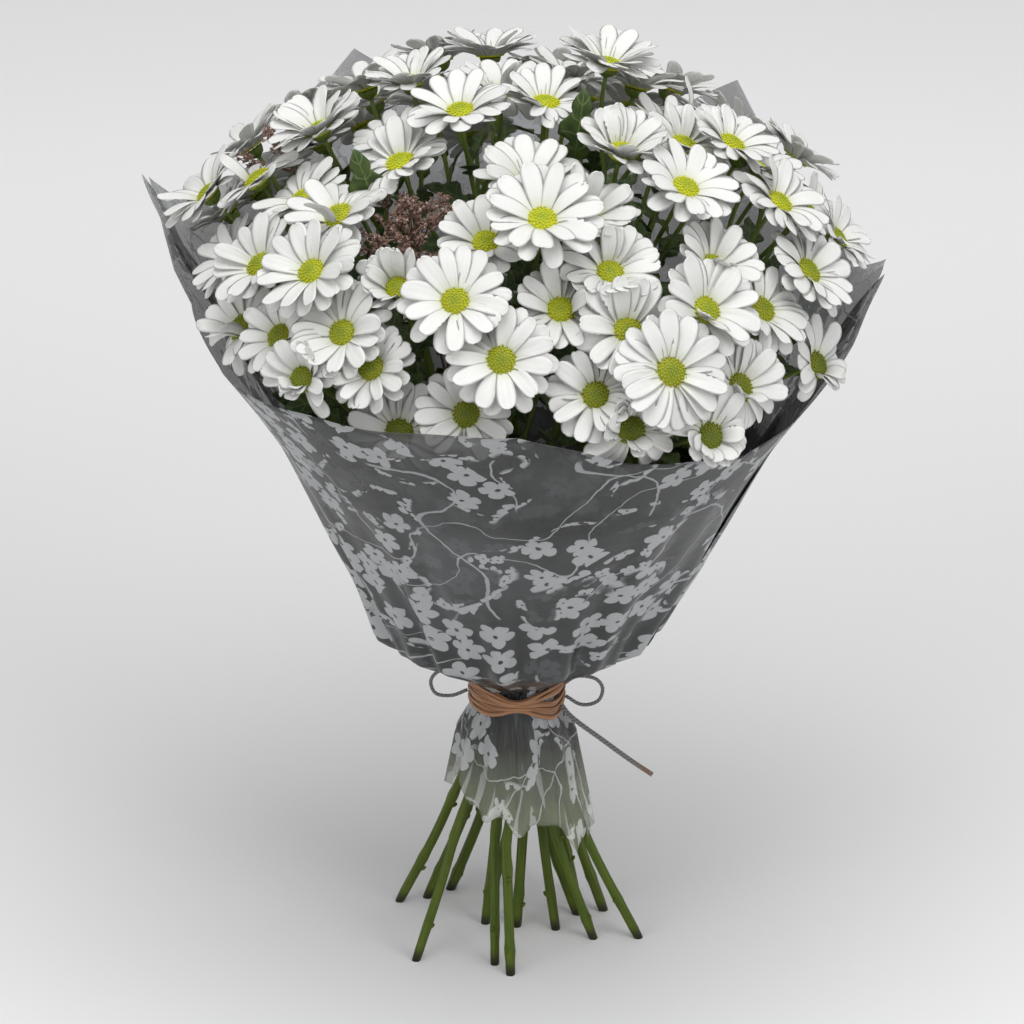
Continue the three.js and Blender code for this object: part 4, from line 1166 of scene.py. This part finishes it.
class BUNCH_OT_raffia(bpy.types.Operator):
    """Wind the raffia strands round the neck"""
    bl_idname = "bunch.raffia"
    bl_label = "Raffia"

    def execute(self, context):
        chance = random.Random(11)
        shape = Shape()
        turns = ring_turns(BAND["steps"])
        # How far round from the front, where the strands are drawn together
        off = np.array([math.remainder(turn + math.pi / 2, 2 * math.pi) for turn in turns])
        near = np.exp(-(off / 0.42) ** 2)
        out, up = np.transpose([(0, -1), (0.5, -0.8), (0.75, 0), (0.5, 0.8), (0, 1), (-0.2, 0)])
        for k in range(BAND["strands"]):
            level = BAND["spread"] * (k % 9 / 8 - 0.5)
            slope, phase = chance.uniform(*BAND["slopes"]), chance.uniform(0, 6.28)
            wide = chance.uniform(*BAND["widths"])
            crossing = np.tanh(off / 0.5) if k % 3 == 1 else 1.0
            z = BAND["middle"] + level * crossing * (1 - 0.62 * near)
            z += slope * np.sin(turns + phase) * (1 - near)
            z -= 4.5 * np.exp(-((off - 0.95) / 0.4) ** 2) * (level < 2)
            z += 2.5 * np.exp(-((off + 1.1) / 0.5) ** 2) * (level > 2)
            r = BAND["inner"] + 0.25 + 1.5 * (k // 9) + 0.3 * np.sin(5 * turns + 2 * k)
            r = out + (r + 0.9 * near * (k % 4) / 3)[:, None]
            turn = turns[:, None]
            grid = np.stack([r * np.cos(turn), r * np.sin(turn), z[:, None] + wide * up], axis=-1)
            lies = np.stack(np.broadcast_arrays(0.03 * turn, np.arange(6.0), chance.random()), axis=-1)
            shape.net(np.pad(shape.add(grid, lies), ((0, 1), (0, 1)), mode="wrap"))
        band = shape.make("raffia_strands", [raffia_finish()])
        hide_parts("raffia_band")
        return {"FINISHED"}


class BUNCH_OT_stems(bpy.types.Operator):
    """Grow each spray's stem, stalks, calyxes and leaves"""
    bl_idname = "bunch.stems"
    bl_label = "Stems and leaves"

    def execute(self, context):
        finishes = [stem_finish(), leaf_finish()]
        for i, spray in enumerate(SPRAYS):
            chance = random.Random(60 + i)
            shape = Shape()
            stem = stem_path(spray)
            add_stem(shape, stem, chance)
            if spray["leafy"]:
                add_stem_leaves(shape, spray, 100 + i)
            for order, item in enumerate(spray["items"]):
                if item["kind"] == "head":
                    path = add_bloom_stalk(shape, spray, item, order, chance)
                    add_hanging_leaves(shape, path, ON_STALKS, chance)
                else:
                    add_stalk(shape, spray, item, order, TALL_LEAF["stalk"], 0.8, chance)
                    foot = item["centre"] - item["axis"] * TALL_LEAF["length"]
                    tip = item["centre"] + item["axis"] * TALL_LEAF["rise"]
                    add_leaf(shape, foot, tip, vec(0, -1, 0), TALL_LEAF["width"], chance)
            for order, head in enumerate(spray["deep"], start=len(spray["items"])):
                add_bloom_stalk(shape, spray, head, order, chance)
            add_hanging_leaves(shape, stem, ON_STEMS, chance)
            piece = shape.make("stems_%02d" % (i + 1), finishes)
            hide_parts("spray_%02d" % (i + 1))
        return {"FINISHED"}


class BUNCH_OT_blooms(bpy.types.Operator):
    """Set every bloom with its petals and its disc"""
    bl_idname = "bunch.blooms"
    bl_label = "Blooms"

    def execute(self, context):
        finishes = [petal_finish(), disc_finish()]
        for node, members in heads_by_node().items():
            shape = Shape()
            for number, head in members:
                add_bloom(shape, head, number)
            piece = shape.make(node.replace("heads", "blooms"), finishes)
            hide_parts(node)
        return {"FINISHED"}


class BUNCH_OT_sprigs(bpy.types.Operator):
    """Make the sprigs of small dried flowers"""
    bl_idname = "bunch.sprigs"
    bl_label = "Dried sprigs"

    def execute(self, context):
        finish = dried_finish()
        for number, sprig in enumerate(DRIED):
            draw = seeded(40 + number)
            chance = random.Random(70 + number)
            walls = walls_of(sprig, ITEMS)
            reach = sprig["reach"]
            hub, top = (sprig["centre"] - sprig["axis"] * reach * share for share in (1.4, 0.3))
            neck_turn, way_turn, way_radius = sprig["way"]
            neck = turned(math.radians(neck_turn), (NECK["inner"] + NECK["outer"]) / 2, NECK["height"])
            half_way = turned(math.radians(way_turn), way_radius, TWIG["half_way"])
            route = [neck - vec(0, 0, 20), neck, half_way, hub, top]
            legs = [np.linspace(a, b, 8, endpoint=False) for a, b in zip(route, route[1:])]
            shape = Shape()
            shape.tube(np.vstack([*legs, top]), [TWIG["stem"]], 7)
            made = 0
            for _ in range(TWIG["tries"]):
                if made == sprig["buds"]:
                    break
                turn = 2 * math.pi * draw()
                out = reach * 1.15 * math.sqrt(draw())
                bud = upon(sprig, turned(turn, out, (draw() - 0.6) * 12 - out * 0.2))
                if not fits(bud[None, :], walls, 0.5):
                    continue
                size = TWIG["bud"] + TWIG["bud_varies"] * draw()
                back = hub + (top - hub) * 0.95 * draw()
                middle = (back + bud) / 2 + vec(chance.uniform(-2, 2), chance.uniform(-2, 2), 1)
                shape.tube(smooth_path([back, middle, bud], 8), [TWIG["twig"]], 5)
                self.add_cluster(shape, bud, unit(bud - back), size, chance)
                made += 1
            piece = shape.make("dried_%d" % (number + 1), [finish])
            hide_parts("dried_sprig_%d" % (number + 1))
        return {"FINISHED"}

    @staticmethod
    def add_cluster(shape, bud, ahead, size, chance):
        """Little papery flowers on short twigs round the place of one bud."""
        for _ in range(TWIG["flowers"]):
            way = unit(ahead + any_way(chance) * 1.3)
            middle = bud + way * size * chance.uniform(0.2, 2.3)
            shape.tube([bud - ahead * 2, (bud + middle) / 2, middle], [0.3, 0.25], 4)
            pale = chance.random()
            shape.bud(middle, way, chance.uniform(0.7, 1.15), chance.uniform(0.9, 1.3), pale)
            side, other = square_to(way, vec(0.1, 0.3, 0.9))
            for k in range(4):
                turn = k * math.pi / 2 + chance.random()
                out = side * math.cos(turn) + other * math.sin(turn)
                shape.tube([middle, middle + out * 0.9 + way * 0.6, middle + out * 1.5 + way * 1.3],
                           [0.35, 0.5, 0.15], 4)


class BUNCH_OT_wrap(bpy.types.Operator):
    """Gather the two sheets of printed film round the bunch"""
    bl_idname = "bunch.wrap"
    bl_label = "Printed film"

    def execute(self, context):
        finish = film_finish()
        for name, rim, inset, seed, node, flat in [
            ("wrap_front", FRONT_RIM, 0.0, 5, "film_front", (0.42, 0.36)),
            ("wrap_back", BACK_RIM, FILM["inset"], 8, "film_back", (0.46, 0.4)),
        ]:
            piece = film_piece(name, rim, inset, seed, finish)
            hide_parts(node)
        return {"FINISHED"}


class BUNCH_PT_panel(bpy.types.Panel):
    bl_idname = "BUNCH_PT_panel"
    bl_label = "Bunch of chrysanthemums"
    bl_space_type = "VIEW_3D"
    bl_region_type = "UI"
    bl_category = "Bunch"

    def draw(self, context):
        for group in (context.scene.bunch_sizes, context.scene.bunch_colours):
            for name in group.bl_rna.properties.keys():
                if name not in ("rna_type", "name"):
                    self.layout.prop(group, name)
        for operator in OPERATORS:
            self.layout.operator(operator.bl_idname)


OPERATORS = [BUNCH_OT_stage, BUNCH_OT_bow, BUNCH_OT_raffia, BUNCH_OT_stems, BUNCH_OT_blooms, BUNCH_OT_sprigs,
             BUNCH_OT_wrap]
CLASSES = [BunchSizes, BunchColours, *OPERATORS, BUNCH_PT_panel]


def register():
    for item in CLASSES:
        bpy.utils.register_class(item)
    bpy.types.Scene.bunch_sizes = bpy.props.PointerProperty(type=BunchSizes)
    bpy.types.Scene.bunch_colours = bpy.props.PointerProperty(type=BunchColours)


def unregister():
    del bpy.types.Scene.bunch_colours
    del bpy.types.Scene.bunch_sizes
    for item in reversed(CLASSES):
        bpy.utils.unregister_class(item)


def main():
    register()
    for operator in OPERATORS:
        group, name = operator.bl_idname.split(".")
        getattr(getattr(bpy.ops, group), name)()


if __name__ == "__main__":
    main()
